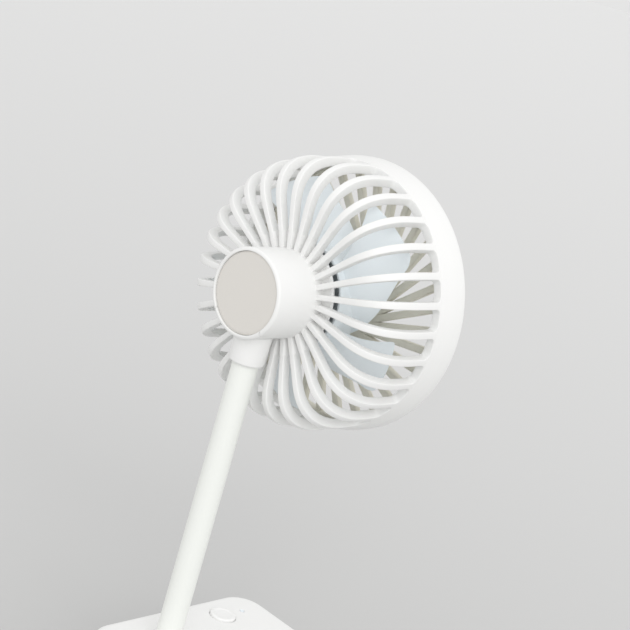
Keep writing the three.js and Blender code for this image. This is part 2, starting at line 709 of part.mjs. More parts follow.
function blade() {
  const root = HUB_R - HUB_WALL / 2;
  const positions = [];
  const corners = [];
  const row = BLADE_STEPS + 1;
  const layer = (BLADE_RINGS + 1) * row;
  for (const side of [-1, 1]) {
    for (let i = 0; i <= BLADE_RINGS; i += 1) {
      const radius = root + (BLADE_TIP_R - root) * i / BLADE_RINGS;
      const inwards = (BLADE_TIP_R - radius) / (BLADE_TIP_R - root);
      const rearAngle = BLADE_REAR_ANGLE + BLADE_ROOT_LAG * inwards;
      const frontAngle = BLADE_REAR_ANGLE + BLADE_TIP_SPAN + BLADE_ROOT_LEAD * inwards ** 2;
      const rearDepth = BLADE_REAR_TIP + (BLADE_REAR_ROOT - BLADE_REAR_TIP) * inwards;
      for (let k = 0; k <= BLADE_STEPS; k += 1) {
        const across = k / BLADE_STEPS;
        const forwards = across ** (1 + BLADE_CAMBER * inwards);
        const angle = (rearAngle + (frontAngle - rearAngle) * across) * Math.PI / 180;
        const depth = rearDepth + (BLADE_FRONT - rearDepth) * forwards + side * BLADE_THICK / 2;
        positions.push(radius * Math.cos(angle), -depth, radius * Math.sin(angle));
      }
    }
  }
  const square = (a, b, c, d) => corners.push(a, b, c, a, c, d);
  for (let i = 0; i < BLADE_RINGS; i += 1) {
    for (let k = 0; k < BLADE_STEPS; k += 1) {
      const a = i * row + k;
      square(a, a + 1, a + row + 1, a + row);
      square(layer + a, layer + a + row, layer + a + row + 1, layer + a + 1);
    }
    const rear = i * row;
    const front = rear + BLADE_STEPS;
    square(rear, rear + row, layer + rear + row, layer + rear);
    square(front, layer + front, layer + front + row, front + row);
  }
  const tip = BLADE_RINGS * row;
  for (let k = 0; k < BLADE_STEPS; k += 1) {
    square(k, layer + k, layer + k + 1, k + 1);
    square(tip + k, tip + k + 1, layer + tip + k + 1, layer + tip + k);
  }
  const geometry = new THREE.BufferGeometry();
  geometry.setAttribute('position', new THREE.Float32BufferAttribute(positions, 3));
  geometry.setIndex(corners);
  return solid(geometry);
}

function impeller() {
  const bore = SHAFT_R + CLEAR;
  const hub = turnedOnFan([
    [HUB_R - HUB_WALL, HUB_BACK],
    [HUB_R, HUB_BACK],
    [HUB_R, HUB_SHOULDER],
    [HUB_R - 3, HUB_FRONT - 1],
    [HUB_R - 8, HUB_FRONT],
    [bore, HUB_FRONT],
    [bore, HUB_BOSS_BACK],
    [HUB_BOSS_R, HUB_BOSS_BACK],
    [HUB_BOSS_R, HUB_FRONT - HUB_WALL],
    [HUB_R - 8, HUB_FRONT - HUB_WALL],
    [HUB_R - 4, HUB_FRONT - 2.6],
    [HUB_R - HUB_WALL, HUB_SHOULDER],
  ], DRUM_SEGMENTS);
  return joined([hub, ...aroundFan(blade(), BLADE_COUNT)]);
}

function impellerNut() {
  const front = NUT_BACK + NUT_LENGTH;
  return turnedOnFan([
    [SHAFT_R + CLEAR, NUT_BACK],
    [NUT_R, NUT_BACK],
    [NUT_R, front - 2],
    [NUT_R - 1.5, front - 0.5],
    [0, front],
    [0, front - NUT_COVER],
    [SHAFT_R + CLEAR, front - NUT_COVER],
  ], 20);
}

// ---------------------------------------------------------------- neck

function neckBracket() {
  const collar = turnedUpright([
    [0, -COLLAR_END],
    [COLLAR_R - COLLAR_EDGE, -COLLAR_END],
    [COLLAR_R - 0.3 * COLLAR_EDGE, -COLLAR_END + 0.3 * COLLAR_EDGE],
    [COLLAR_R, -COLLAR_END + COLLAR_EDGE],
    [COLLAR_TOP_R, -DRUM_R],
    [COLLAR_TOP_R, -DRUM_R / 2],
    [0, -DRUM_R / 2],
  ], 28).translate([0, -NECK_DEPTH, 0]);
  const drumInside = fanPost(DRUM_R - DRUM_WALL / 2, -1, FLANGE_FRONT + 5, 0, 0, DRUM_SEGMENTS);
  const drumSpace = fanPost(DRUM_R + CLEAR, -1, FLANGE_FRONT + 5, 0, 0, DRUM_SEGMENTS)
    .subtract(notch(CLEAR))
    .add(drumInside);
  const saddle = turnedOnFan([...DRUM_PROFILE, [DRUM_INNER_R, FLANGE_BACK]], DRUM_SEGMENTS)
    .intersect(notch(CLEAR));
  const bore = post(NECK_R + CLEAR, -COLLAR_END - 1, -COLLAR_BORE_TOP, 0, -NECK_DEPTH, 24);
  const finSpace = block([-DRUM_R, -FLANGE_FRONT - 5, -DRUM_R * 2], [DRUM_R, -FIN_BACK + CLEAR, 0]);
  return collar.subtract(drumSpace).add(saddle).subtract(bore).subtract(leadHole()).subtract(finSpace);
}

// The rounded top of a link, centred on the bend, from its side to its top.
function ball(bend) {
  return Array.from({ length: BALL_RINGS + 1 }, (_, i) => {
    const angle = i / BALL_RINGS * Math.PI / 2;
    return [i === BALL_RINGS ? 0 : NECK_R * Math.cos(angle), bend + NECK_R * Math.sin(angle)];
  });
}

// The hollow underside of a link, centred on the bend, from its deepest point to its side.
function cup(bend) {
  const radius = NECK_R + NECK_CUP_GAP;
  const side = Math.acos(NECK_R / radius);
  return Array.from({ length: BALL_RINGS + 1 }, (_, i) => {
    const angle = Math.PI / 2 + (side - Math.PI / 2) * i / BALL_RINGS;
    return [i === 0 ? 0 : radius * Math.cos(angle), bend + radius * Math.sin(angle)];
  });
}

function neckLink(lowerBend) {
  return turnedUpright([...cup(lowerBend), ...ball(lowerBend + NECK_PITCH)], NECK_SEGMENTS);
}

function neckTip() {
  const top = AXIS_Z - COLLAR_BORE_TOP - CLEAR;
  const profile = [...cup(HIGHEST_BEND_Z), [NECK_R, top - 0.6], [NECK_R - 0.6, top], [0, top]];
  return turnedUpright(profile, NECK_SEGMENTS);
}

function neckStem() {
  const seat = HOUSING_TOP + CLEAR;
  const threadEnd = HOUSING_TOP - HOUSING_WALL - NECK_NUT_THICK - 3;
  return turnedUpright([
    [0, threadEnd],
    [STEM_THREAD_R, threadEnd],
    [STEM_THREAD_R, seat],
    [STEM_FLARE_R, seat],
    [STEM_FLARE_R, seat + 1.2],
    [NECK_R + 0.6, seat + STEM_FLARE_HEIGHT],
    [NECK_R, seat + STEM_FLARE_HEIGHT + 1],
    ...ball(LOWEST_BEND_Z),
  ], NECK_SEGMENTS);
}

function neckNut() {
  const top = HOUSING_TOP - HOUSING_WALL - CLEAR;
  return post(NECK_NUT_R, top - NECK_NUT_THICK, top, 0, NECK_Y, 6)
    .subtract(post(STEM_THREAD_R + CLEAR, 0, HOUSING_TOP, 0, NECK_Y, NECK_SEGMENTS));
}

// ---------------------------------------------------------------- housing

// Side outline of the housing, drawn in by the wall for its inside.
function housingSide(inset) {
  const front = -HALF_LENGTH + inset;
  const rear = HALF_LENGTH - inset;
  const top = HOUSING_TOP - inset;
  const underside = HOUSING_UNDERSIDE + inset;
  const nose = NOSE_UNDERSIDE + inset;
  return [
    [front, nose + 2],
    [front + 2, nose],
    [NOSE_END - inset, nose],
    [NOSE_END + NOSE_SLOPE - inset, underside],
    [HANDLE_START - 0.2 * inset, underside],
    [rear, REAR_UNDERSIDE + inset],
    [rear, top - HOUSING_EDGE],
    [rear - HOUSING_EDGE, top],
    [front + HOUSING_EDGE, top],
    [front, top - HOUSING_EDGE],
  ];
}

function housingBody(inset) {
  const width = HOUSING_WIDTH - 2 * inset;
  const length = BASE_LENGTH - 2 * inset;
  const plan = raised(roundedRectangle(width, length, JAW_CORNER - inset), 0, HOUSING_TOP + 10);
  return plan.intersect(drawnAcross(housingSide(inset), -HOUSING_WIDTH, HOUSING_WIDTH));
}

const SCREW_PLACES = [
  { ...FRONT_SCREW, y: FRONT_SCREW.fromEnd - HALF_LENGTH },
  { ...REAR_SCREW, y: CELL_REAR + REAR_SCREW.fromCell },
].flatMap(({ fromSide, y, seat }) => [-1, 1].map((side) => (
  { x: side * (HOUSING_WIDTH / 2 - fromSide), y, seat }
)));

function posts(low, high) {
  return joined(SCREW_PLACES.map(({ x, y }) => post(POST_R, low, high, x, y, 12)));
}

function shell() {
  return housingBody(0).subtract(housingBody(HOUSING_WALL));
}

function housingTop() {
  const low = HOUSING_SPLIT + CLEAR / 2;
  const upper = block([-BEYOND, -BEYOND, low], [BEYOND, BEYOND, BEYOND]);
  const ceiling = HOUSING_TOP - HOUSING_WALL / 2;
  const screwSpace = joined(SCREW_PLACES.map(({ x, y }) => (
    post(SCREW_R + CLEAR, low - 1, HOUSING_SPLIT + SCREW_REACH + CLEAR, x, y, 10)
  )));
  const socketZ = BOARD_TOP + CLEAR + SOCKET_HEIGHT / 2;
  const socketSpace = block(
    [HOUSING_WIDTH / 4, SOCKET_Y - SOCKET_WIDTH / 2 - CLEAR, socketZ - SOCKET_HEIGHT / 2 - CLEAR],
    [HOUSING_WIDTH, SOCKET_Y + SOCKET_WIDTH / 2 + CLEAR, socketZ + SOCKET_HEIGHT / 2 + CLEAR],
  );
  return shell().intersect(upper)
    .add(posts(low, ceiling).intersect(housingBody(HOUSING_WALL / 2)))
    .subtract(screwSpace)
    .subtract(socketSpace)
    .subtract(post(STEM_THREAD_R + CLEAR, 0, BEYOND, 0, NECK_Y, NECK_SEGMENTS))
    .subtract(post(BUTTON_R + CLEAR, HOUSING_SPLIT, BEYOND, BOARD_X, BUTTON_Y, 24))
    .subtract(post(LIGHT_R + CLEAR, HOUSING_SPLIT, BEYOND, BOARD_X, LIGHT_Y, 12));
}

function lug(side) {
  const [inside, outside] = [EAR_INSIDE - CLEAR - LUG_THICK, EAR_INSIDE - CLEAR].map((x) => side * x);
  const [left, right] = side < 0 ? [outside, inside] : [inside, outside];
  const web = block([left, HINGE_Y - LUG_R, HINGE_Z], [right, HINGE_Y + LUG_R, HOUSING_UNDERSIDE + 1]);
  return crossPost(LUG_R, left, right, HINGE_Y, HINGE_Z).add(web);
}

function housingBottom() {
  const high = HOUSING_SPLIT - CLEAR / 2;
  const lower = block([-BEYOND, -BEYOND, 0], [BEYOND, BEYOND, high]);
  const floor = NOSE_UNDERSIDE + HOUSING_WALL / 2;
  const screwSpace = joined(SCREW_PLACES.flatMap(({ x, y, seat }) => [
    post(SCREW_R + CLEAR, 0, BEYOND, x, y, 10),
    post(SCREW_HEAD_R + CLEAR, 0, seat, x, y, 12),
  ]));
  const boardPosts = joined([[-1, 0.12], [1, 0.12], [-1, 0.88], [1, 0.88]].map(([side, share]) => post(
    BOARD_POST_R,
    floor,
    BOARD_HEIGHT - CLEAR,
    BOARD_X + side * (BOARD_WIDTH / 2 - BOARD_POST_R - 1),
    BOARD_FRONT + share * BOARD_LENGTH,
    10,
  )));
  return shell().intersect(lower)
    .add(posts(floor, high).add(boardPosts).intersect(housingBody(HOUSING_WALL / 2)))
    .add(lug(-1))
    .add(lug(1))
    .subtract(screwSpace)
    .subtract(crossPost(PIN_R + CLEAR, -BEYOND, BEYOND, HINGE_Y, HINGE_Z));
}

function housingScrew({ x, y, seat }) {
  const headTop = seat - CLEAR;
  return turnedUpright([
    [0, headTop - SCREW_HEAD],
    [SCREW_HEAD_R - 0.5, headTop - SCREW_HEAD],
    [SCREW_HEAD_R, headTop - SCREW_HEAD + 0.4],
    [SCREW_HEAD_R, headTop],
    [SCREW_R, headTop],
    [SCREW_R, HOUSING_SPLIT + SCREW_REACH],
    [0, HOUSING_SPLIT + SCREW_REACH],
  ], 10).translate([x, y, 0]);
}

// ---------------------------------------------------------------- inside the housing

function batteryCell() {
  const tip = turned([
    [0, CELL_FRONT + 1.5],
    [3, CELL_FRONT + 1.5],
    [3, CELL_FRONT],
    [0, CELL_FRONT],
  ].reverse(), 16);
  const body = turned([
    [0, CELL_FRONT + 1],
    [CELL_R - 0.8, CELL_FRONT + 1],
    [CELL_R, CELL_FRONT + 1.8],
    [CELL_R, CELL_REAR - 0.8],
    [CELL_R - 0.8, CELL_REAR],
    [0, CELL_REAR],
  ], 24);
  return solid(tip).add(solid(body)).translate([CELL_X, 0, CELL_Z]);
}

function batteryContact(back, front) {
  const half = CONTACT_WIDTH / 2;
  const low = HOUSING_UNDERSIDE + HOUSING_WALL + CLEAR;
  return block([CELL_X - half, back, low], [CELL_X + half, front, CELL_Z + half]);
}

function circuitBoard() {
  const left = BOARD_X - BOARD_WIDTH / 2;
  const board = block(
    [left, BOARD_FRONT, BOARD_HEIGHT],
    [left + BOARD_WIDTH, BOARD_FRONT + BOARD_LENGTH, BOARD_TOP],
  );
  const half = SWITCH_SIZE / 2;
  const sunk = BOARD_TOP - BOARD_THICK / 2;
  const pushSwitch = block(
    [BOARD_X - half, BUTTON_Y - half, sunk],
    [BOARD_X + half, BUTTON_Y + half, SWITCH_TOP],
  );
  const lamp = block([BOARD_X - 1, LIGHT_Y - 1, sunk], [BOARD_X + 1, LIGHT_Y + 1, BOARD_TOP + 0.8]);
  const chip = block([left + 3, BOARD_FRONT + 24, sunk], [left + 8, BOARD_FRONT + 29, BOARD_TOP + 1.1]);
  return joined([board, pushSwitch, lamp, chip]);
}

function usbSocket() {
  const low = BOARD_TOP + CLEAR;
  const middle = low + SOCKET_HEIGHT / 2;
  const mouth = HOUSING_WIDTH / 2 - 0.4;
  const outline = (gap) => roundedRectangle(
    SOCKET_HEIGHT - 2 * gap,
    SOCKET_WIDTH - 2 * gap,
    SOCKET_HEIGHT / 2 - gap - 0.05,
    0,
    0,
    3,
  );
  const outer = raised(outline(0), mouth - SOCKET_DEPTH, mouth);
  const inner = raised(outline(SOCKET_WALL), mouth - SOCKET_DEPTH + 1, mouth + 1);
  return outer.subtract(inner).rotate([0, 90, 0]).translate([0, SOCKET_Y, middle]);
}

function powerButton() {
  const flangeTop = HOUSING_TOP - HOUSING_WALL - CLEAR;
  const stemEnd = SWITCH_TOP + 2 * CLEAR + DOME_HEIGHT;
  const top = HOUSING_TOP + BUTTON_PROUD;
  return turnedUpright([
    [0, stemEnd],
    [BUTTON_STEM_R, stemEnd],
    [BUTTON_STEM_R, flangeTop - BUTTON_FLANGE_THICK],
    [BUTTON_R + BUTTON_FLANGE, flangeTop - BUTTON_FLANGE_THICK],
    [BUTTON_R + BUTTON_FLANGE, flangeTop],
    [BUTTON_R, flangeTop],
    [BUTTON_R, top - 0.7],
    [BUTTON_R - 0.7, top],
    [0, top - 0.3],
  ], 24).translate([BOARD_X, BUTTON_Y, 0]);
}

function buttonDome() {
  const low = SWITCH_TOP + CLEAR;
  return turnedUpright([
    [0, low],
    [DOME_R, low],
    [DOME_R - 0.8, low + DOME_HEIGHT],
    [0, low + DOME_HEIGHT],
  ], 12).translate([BOARD_X, BUTTON_Y, 0]);
}

function lightPipe() {
  return post(LIGHT_R, BOARD_TOP + 0.8 + CLEAR, HOUSING_TOP, BOARD_X, LIGHT_Y, 12);
}

// ---------------------------------------------------------------- clip

// A pad with ridges across it: its flat face lies at one height and its ridges point to another.
function ridgedPad(flat, ridgeTops) {
  const depth = Math.sign(ridgeTops - flat) * PAD_GROOVE;
  const rear = PAD_FRONT + PAD_LENGTH;
  const pitch = PAD_LENGTH / (PAD_RIDGES - 0.5);
  const outline = [[PAD_FRONT, flat]];
  for (let i = 0; i < PAD_RIDGES; i += 1) {
    const start = PAD_FRONT + i * pitch;
    outline.push([start, ridgeTops], [start + pitch / 2, ridgeTops]);
    if (i < PAD_RIDGES - 1) {
      outline.push([start + pitch / 2, ridgeTops - depth], [start + pitch, ridgeTops - depth]);
    }
  }
  outline.push([rear, flat]);
  const plan = roundedRectangle(PAD_WIDTH, PAD_LENGTH, 3, 0, PAD_FRONT + PAD_LENGTH / 2, 3);
  const [low, high] = [Math.min(flat, ridgeTops) - 1, Math.max(flat, ridgeTops) + 1];
  return drawnAcross(outline, -PAD_WIDTH, PAD_WIDTH).intersect(raised(plan, low, high));
}

function footPlan(gap) {
  const width = JAW_WIDTH - 2 * FOOT_MARGIN + 2 * gap;
  const length = BASE_LENGTH - 2 * FOOT_MARGIN + 2 * gap;
  return roundedRectangle(width, length, JAW_CORNER - FOOT_MARGIN + 1 + gap);
}

function lowerJaw() {
  const plate = raised(roundedRectangle(JAW_WIDTH, BASE_LENGTH, JAW_CORNER), JAW_UNDERSIDE, JAW_TOP);
  const ears = [-1, 1].map((side) => {
    const faces = [EAR_INSIDE, EAR_INSIDE + EAR_THICK].map((x) => side * x);
    const [left, right] = [Math.min(...faces), Math.max(...faces)];
    const foot = block([left, HINGE_Y - EAR_R - 2, JAW_TOP - 1], [right, HINGE_Y + EAR_R + 2, JAW_TOP + 1]);
    const web = block([left, HINGE_Y - EAR_R, JAW_TOP - 1], [right, HINGE_Y + EAR_R, HINGE_Z]);
    return joined([crossPost(EAR_R, left, right, HINGE_Y, HINGE_Z), web, foot]);
  });
  return joined([plate, ...ears])
    .subtract(raised(footPlan(CLEAR), 0, FOOT_THICK + CLEAR))
    .subtract(crossPost(PIN_R + CLEAR, -BEYOND, BEYOND, HINGE_Y, HINGE_Z));
}

function hingePin() {
  const outside = EAR_INSIDE + EAR_THICK + CLEAR;
  const end = outside + RETAINER_THICK + 1;
  const profile = [
    [0, -outside - PIN_HEAD_THICK],
    [PIN_HEAD_R - 0.5, -outside - PIN_HEAD_THICK],
    [PIN_HEAD_R, -outside - PIN_HEAD_THICK + 0.5],
    [PIN_HEAD_R, -outside],
    [PIN_R, -outside],
    [PIN_R, end - 0.4],
    [PIN_R - 0.4, end],
    [0, end],
  ];
  return solid(turned(profile, 16).rotateZ(-Math.PI / 2)).translate([0, HINGE_Y, HINGE_Z]);
}

function pinRetainer() {
  const inside = EAR_INSIDE + EAR_THICK + CLEAR;
  const washer = crossPost(RETAINER_R, inside, inside + RETAINER_THICK, HINGE_Y, HINGE_Z, 16);
  const bore = crossPost(PIN_R + CLEAR, 0, BEYOND, HINGE_Y, HINGE_Z, 16);
  const slot = block([0, HINGE_Y - 1, HINGE_Z], [BEYOND, HINGE_Y + 1, HINGE_Z + 9]);
  return washer.subtract(bore).subtract(slot);
}

// The torsion spring: a leg on the lower jaw, the coil round the pin, and a leg under the housing.
function jawSpring() {
  const half = COIL_TURNS * COIL_PITCH / 2;
  const points = [];
  const legEnd = HANDLE_START - COIL_WIRE_R;
  const lowerLeg = new THREE.Vector3(-half, legEnd, JAW_TOP + CLEAR + COIL_WIRE_R);
  const upperLeg = new THREE.Vector3(half, legEnd, HOUSING_UNDERSIDE - CLEAR - COIL_WIRE_R);
  const turns = COIL_TURNS * COIL_STEPS;
  const coil = Array.from({ length: turns + 1 }, (_, i) => {
    const angle = 2 * Math.PI * i / COIL_STEPS;
    return new THREE.Vector3(
      -half + COIL_PITCH * i / COIL_STEPS,
      HINGE_Y - COIL_R * Math.sin(angle),
      HINGE_Z - COIL_R * Math.cos(angle),
    );
  });
  const legSteps = [0.25, 0.5, 0.75];
  points.push(lowerLeg, ...legSteps.map((share) => lowerLeg.clone().lerp(coil[0], share)));
  points.push(...coil);
  points.push(...legSteps.map((share) => coil[turns].clone().lerp(upperLeg, share)), upperLeg);
  printLeastGap(coil);
  return tube(points, COIL_WIRE_R, COIL_SIDES);
}

// Prints the least gap between one turn of the coil and any other.
function printLeastGap(coil) {
  let least = Infinity;
  coil.forEach((point, i) => {
    for (let k = i + COIL_STEPS / 2; k < coil.length; k += 1) {
      least = Math.min(least, point.distanceTo(coil[k]) - 2 * COIL_WIRE_R);
    }
  });
  console.log(`least gap between the jaw spring's turns: ${least.toFixed(2)} mm`);
}

// ---------------------------------------------------------------- assembly

const fan = new THREE.Group();

const head = new THREE.Group();
head.position.set(0, HEAD_Y, AXIS_Z);
fan.add(head);
addPiece(head, 'rear_grille', rearGrille(), WHITE);
addPiece(head, 'front_grille', frontGrille(), CREAM);
addPiece(head, 'front_badge', frontBadge(), WHITE);
addPiece(head, 'rear_cap', rearCap(), WARM_GREY);
addPiece(head, 'neck_bracket', neckBracket(), WHITE);
addPiece(head, 'motor_can', motorCan(), STEEL);
addPiece(head, 'motor_end_bell', motorEndBell(), BLACK);
addPiece(head, 'rear_bushing', bushing(MOTOR_BACK + 0.2), BRONZE);
addPiece(head, 'front_bushing', bushing(MOTOR_FRONT - 0.6), BRONZE);
addPiece(head, 'motor_magnet_left', magnet(180), MAGNET);
addPiece(head, 'motor_magnet_right', magnet(0), MAGNET);
addPiece(head, 'motor_damper', motorDamper(), BLACK);
addPiece(head, 'motor_screw_left', motorScrew(-1), STEEL);
addPiece(head, 'motor_screw_right', motorScrew(1), STEEL);
addPiece(head, 'motor_lead_red', motorLead(-1), LEAD_RED);
addPiece(head, 'motor_lead_black', motorLead(1), BLACK);
addPiece(head, 'impeller', impeller(), PALE_BLUE);
addPiece(head, 'impeller_nut', impellerNut(), WHITE);
addPiece(head, 'motor_shaft', motorShaft(), STEEL);
addPiece(head, 'motor_rotor', motorRotor(), STEEL);

const neck = new THREE.Group();
neck.position.set(0, NECK_Y, 0);
fan.add(neck);
addPiece(neck, 'neck_stem', neckStem(), SILICONE);
for (let i = 1; i < NECK_BENDS; i += 1) {
  addPiece(neck, `neck_link_${i}`, neckLink(LOWEST_BEND_Z + (i - 1) * NECK_PITCH), SILICONE);
}
addPiece(neck, 'neck_tip', neckTip(), SILICONE);

const base = new THREE.Group();
fan.add(base);
addPiece(base, 'neck_nut', neckNut(), STEEL);
addPiece(base, 'housing_top', housingTop(), WHITE);
addPiece(base, 'housing_bottom', housingBottom(), WHITE);
SCREW_PLACES.forEach((place, i) => {
  addPiece(base, `housing_screw_${i + 1}`, housingScrew(place), STEEL);
});
addPiece(base, 'battery_cell', batteryCell(), CELL_WRAP);
const frontContact = CELL_FRONT - CLEAR;
const rearContact = CELL_REAR + CLEAR;
addPiece(base, 'battery_contact_front', batteryContact(frontContact - CONTACT_THICK, frontContact), STEEL);
addPiece(base, 'battery_contact_rear', batteryContact(rearContact, rearContact + CONTACT_THICK), STEEL);
addPiece(base, 'circuit_board', circuitBoard(), BOARD_GREEN);
addPiece(base, 'usb_socket', usbSocket(), STEEL);
addPiece(base, 'light_pipe', lightPipe(), GLOW);
addPiece(base, 'power_button', powerButton(), WHITE);
addPiece(base, 'button_dome', buttonDome(), RUBBER);
addPiece(base, 'upper_jaw_pad', ridgedPad(NOSE_UNDERSIDE - CLEAR, NOSE_UNDERSIDE - CLEAR - PAD_THICK), RUBBER);
addPiece(base, 'lower_jaw_pad', ridgedPad(JAW_TOP + CLEAR, JAW_TOP + CLEAR + PAD_THICK), RUBBER);
addPiece(base, 'lower_jaw', lowerJaw(), WHITE);
addPiece(base, 'foot_pad', raised(footPlan(0), 0, FOOT_THICK), RUBBER);
addPiece(base, 'hinge_pin', hingePin(), STEEL);
addPiece(base, 'pin_retainer', pinRetainer(), STEEL);
addPiece(base, 'jaw_spring', jawSpring(), STEEL);

export default fan;
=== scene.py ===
# %% [markdown]
# # A clip fan on a flexible neck
#
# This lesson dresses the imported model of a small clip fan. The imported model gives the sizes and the
# moving bodies. Each cell below makes a few finished pieces in the same frame and says what it made.
# Shapes are built in millimetres, and a piece is scaled to metres when it is finished.

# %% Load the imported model
import json
import math

import bmesh
import bpy
from mathutils import Matrix, Vector


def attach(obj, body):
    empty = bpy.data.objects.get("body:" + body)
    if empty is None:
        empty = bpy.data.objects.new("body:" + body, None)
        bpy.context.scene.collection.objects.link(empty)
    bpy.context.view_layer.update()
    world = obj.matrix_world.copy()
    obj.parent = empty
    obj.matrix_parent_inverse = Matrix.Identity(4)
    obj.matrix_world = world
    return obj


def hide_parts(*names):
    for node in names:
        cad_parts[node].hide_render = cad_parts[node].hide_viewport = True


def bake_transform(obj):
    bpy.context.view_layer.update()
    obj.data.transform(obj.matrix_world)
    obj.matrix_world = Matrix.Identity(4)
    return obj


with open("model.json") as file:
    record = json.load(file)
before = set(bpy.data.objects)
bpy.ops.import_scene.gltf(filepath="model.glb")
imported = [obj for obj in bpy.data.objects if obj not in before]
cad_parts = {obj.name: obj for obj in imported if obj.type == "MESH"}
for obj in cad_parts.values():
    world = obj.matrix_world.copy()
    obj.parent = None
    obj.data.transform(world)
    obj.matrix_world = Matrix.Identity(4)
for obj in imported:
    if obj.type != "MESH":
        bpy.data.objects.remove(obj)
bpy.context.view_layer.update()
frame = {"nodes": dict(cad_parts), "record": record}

scene = bpy.context.scene

# %% [markdown]
# ## Sizes
#
# All sizes are in millimetres. A depth in the head is counted forwards from the drum's rear face, and a
# radius from the fan's axis.

# %% Sizes of the head
MM = 0.001  # in metres
HEAD_Y = 39.2  # the drum's rear face
AXIS_Z = 218.0
GAP = 0.15  # visible groove between two pieces
NOTCH_GAP = 0.3  # and round the saddle in the drum's notch

DRUM_R = 20.0
DRUM_INNER_R = 18.2
DRUM_EDGE = 1.4
FIN_COUNT = 30
FIN_START = 8.2  # direction of the first fin, in degrees from +X towards +Z
FIN_BACK = 23.8
FIN_DEPTH = 4.5
FIN_LEAN = -0.096
FIN_WIDTHS = (2.3, 3.3)  # at the drum and at the ring
FIN_ROOT = 1.0  # how deep a fin reaches into the drum
FIN_FIRST_ROW = 8.0  # its first row outside the drum, counted from there
FIN_EDGE = 1.0
SHOULDER_START_R = 38.8
SHOULDER_R = 62.0
SHOULDER_INNER_R = 57.8
SHOULDER_FRONT = 50.0
SHOULDER_POWER = 2.53
SLOT_END = 57.3
SLOT_CORNER = 2.4
FLANGE_R = 25.0
FLANGE_BACK = 28.0
FLANGE_FRONT = 30.0
FLANGE_HOLE_R = 3.5

BAR_COUNT = 32
BAR_OFFSET = 14.0
BAR_START = 4.8
BAR_WIDTH = 3.4
BAR_BACK = 68.6
BAR_FRONT = 72.2
RIM_R = 60.1
RIM_WALL = 2.4
RIM_BACK = 67.5
RIM_FRONT = 74.0
GRILLE_HUB_R = 18.0
GRILLE_HUB_FLOOR = 72.5
GRILLE_FRONT = 75.5
BADGE_SEAT = 74.5
BADGE_SEAT_R = 13.3
BADGE_BACK = 74.8
BADGE_R = 13.1

BLADE_COUNT = 5
BLADE_ROOT_R = 23.5
BLADE_TIP_R = 53.0
HUB_R = 24.3
HUB_WALL = 1.6
HUB_BACK = 35.2
HUB_SHOULDER = 52.0
HUB_FRONT = 57.0
HUB_BOSS_R = 3.5
HUB_BOSS_BACK = 39.0
SHAFT_HOLE_R = 1.3

# %% Sizes of the neck and the base
NECK_Y = 26.0
NECK_R = 6.0
NECK_HOLE_R = 5.3
COLLAR_R = 8.5
COLLAR_TOP = AXIS_Z - 16
COLLAR_ROOF = AXIS_Z - 21.7  # of the bore that takes the neck
COLLAR_END = 32.4  # below the fan's axis
NECK_TOP = AXIS_Z - 22.0
BENDS = (57.0, 76.0, 95.0, 114.0, 133.0, 152.0)
BEND_REACH = 9.5  # half the distance from one bend to the next

HOUSING_WIDTH = 54.0
HOUSING_LENGTH = 108.0
HOUSING_CORNER = 14.0
HOUSING_TOP = 42.0
HOUSING_SPLIT = 30.0
HOUSING_WALL = 2.0
HOUSING_EDGE = 3.2
BUTTON = (12.0, -24.0)
BUTTON_R = 6.5
LIGHT = (12.0, -38.0)
LIGHT_R = 1.1
SOCKET = (-4.0, 34.15)  # its middle, along Y and Z
SOCKET_HALF = (4.8, 1.95)
SOCKET_CORNER = 1.9
HINGE = (12.0, 13.0)

# %% [markdown]
# ## Camera
#
# The camera's place was worked out from the drum, the fins and the ring in the photograph.

# %% Camera
CAMERA_RIGHT = (-0.70907, -0.64972, 0.27401)
CAMERA_UP = (0.37133, -0.01371, 0.9284)
CAMERA_BACK = (-0.59945, 0.76005, 0.25098)
CAMERA_PLACE = (-0.39996, 0.49557, 0.37461)

lens = bpy.data.cameras.new("camera")
lens.sensor_width = 36
lens.lens = 83.70
lens.clip_start = 0.01
lens.clip_end = 500
camera = bpy.data.objects.new("camera", lens)
scene.collection.objects.link(camera)
camera.matrix_world = Matrix((CAMERA_RIGHT, CAMERA_UP, CAMERA_BACK)).transposed().to_4x4()
camera.location = CAMERA_PLACE
scene.camera = camera
print("camera at", CAMERA_PLACE)

# %% [markdown]
# ## Finishes
#
# A node group makes the fine grain of a moulded surface: a slight change of colour and roughness, and a
# bump. Each material feeds it its own colour and keeps its own shader.

# %% Grain of a moulded surface
MOTTLE_SCALE = 35.0
ROUGH_SPREAD = 0.08  # how far the roughness wanders, half of it each way


def add_socket(group, name, direction, kind, value=None):
    socket = group.interface.new_socket(name=name, in_out=direction, socket_type=kind)
    if value is not None:
        socket.default_value = value


def place_node(tree, kind, x, y, **settings):
    node = tree.nodes.new(kind)
    node.location = (x, y)
    for name, value in settings.items():
        setattr(node, name, value)
    return node


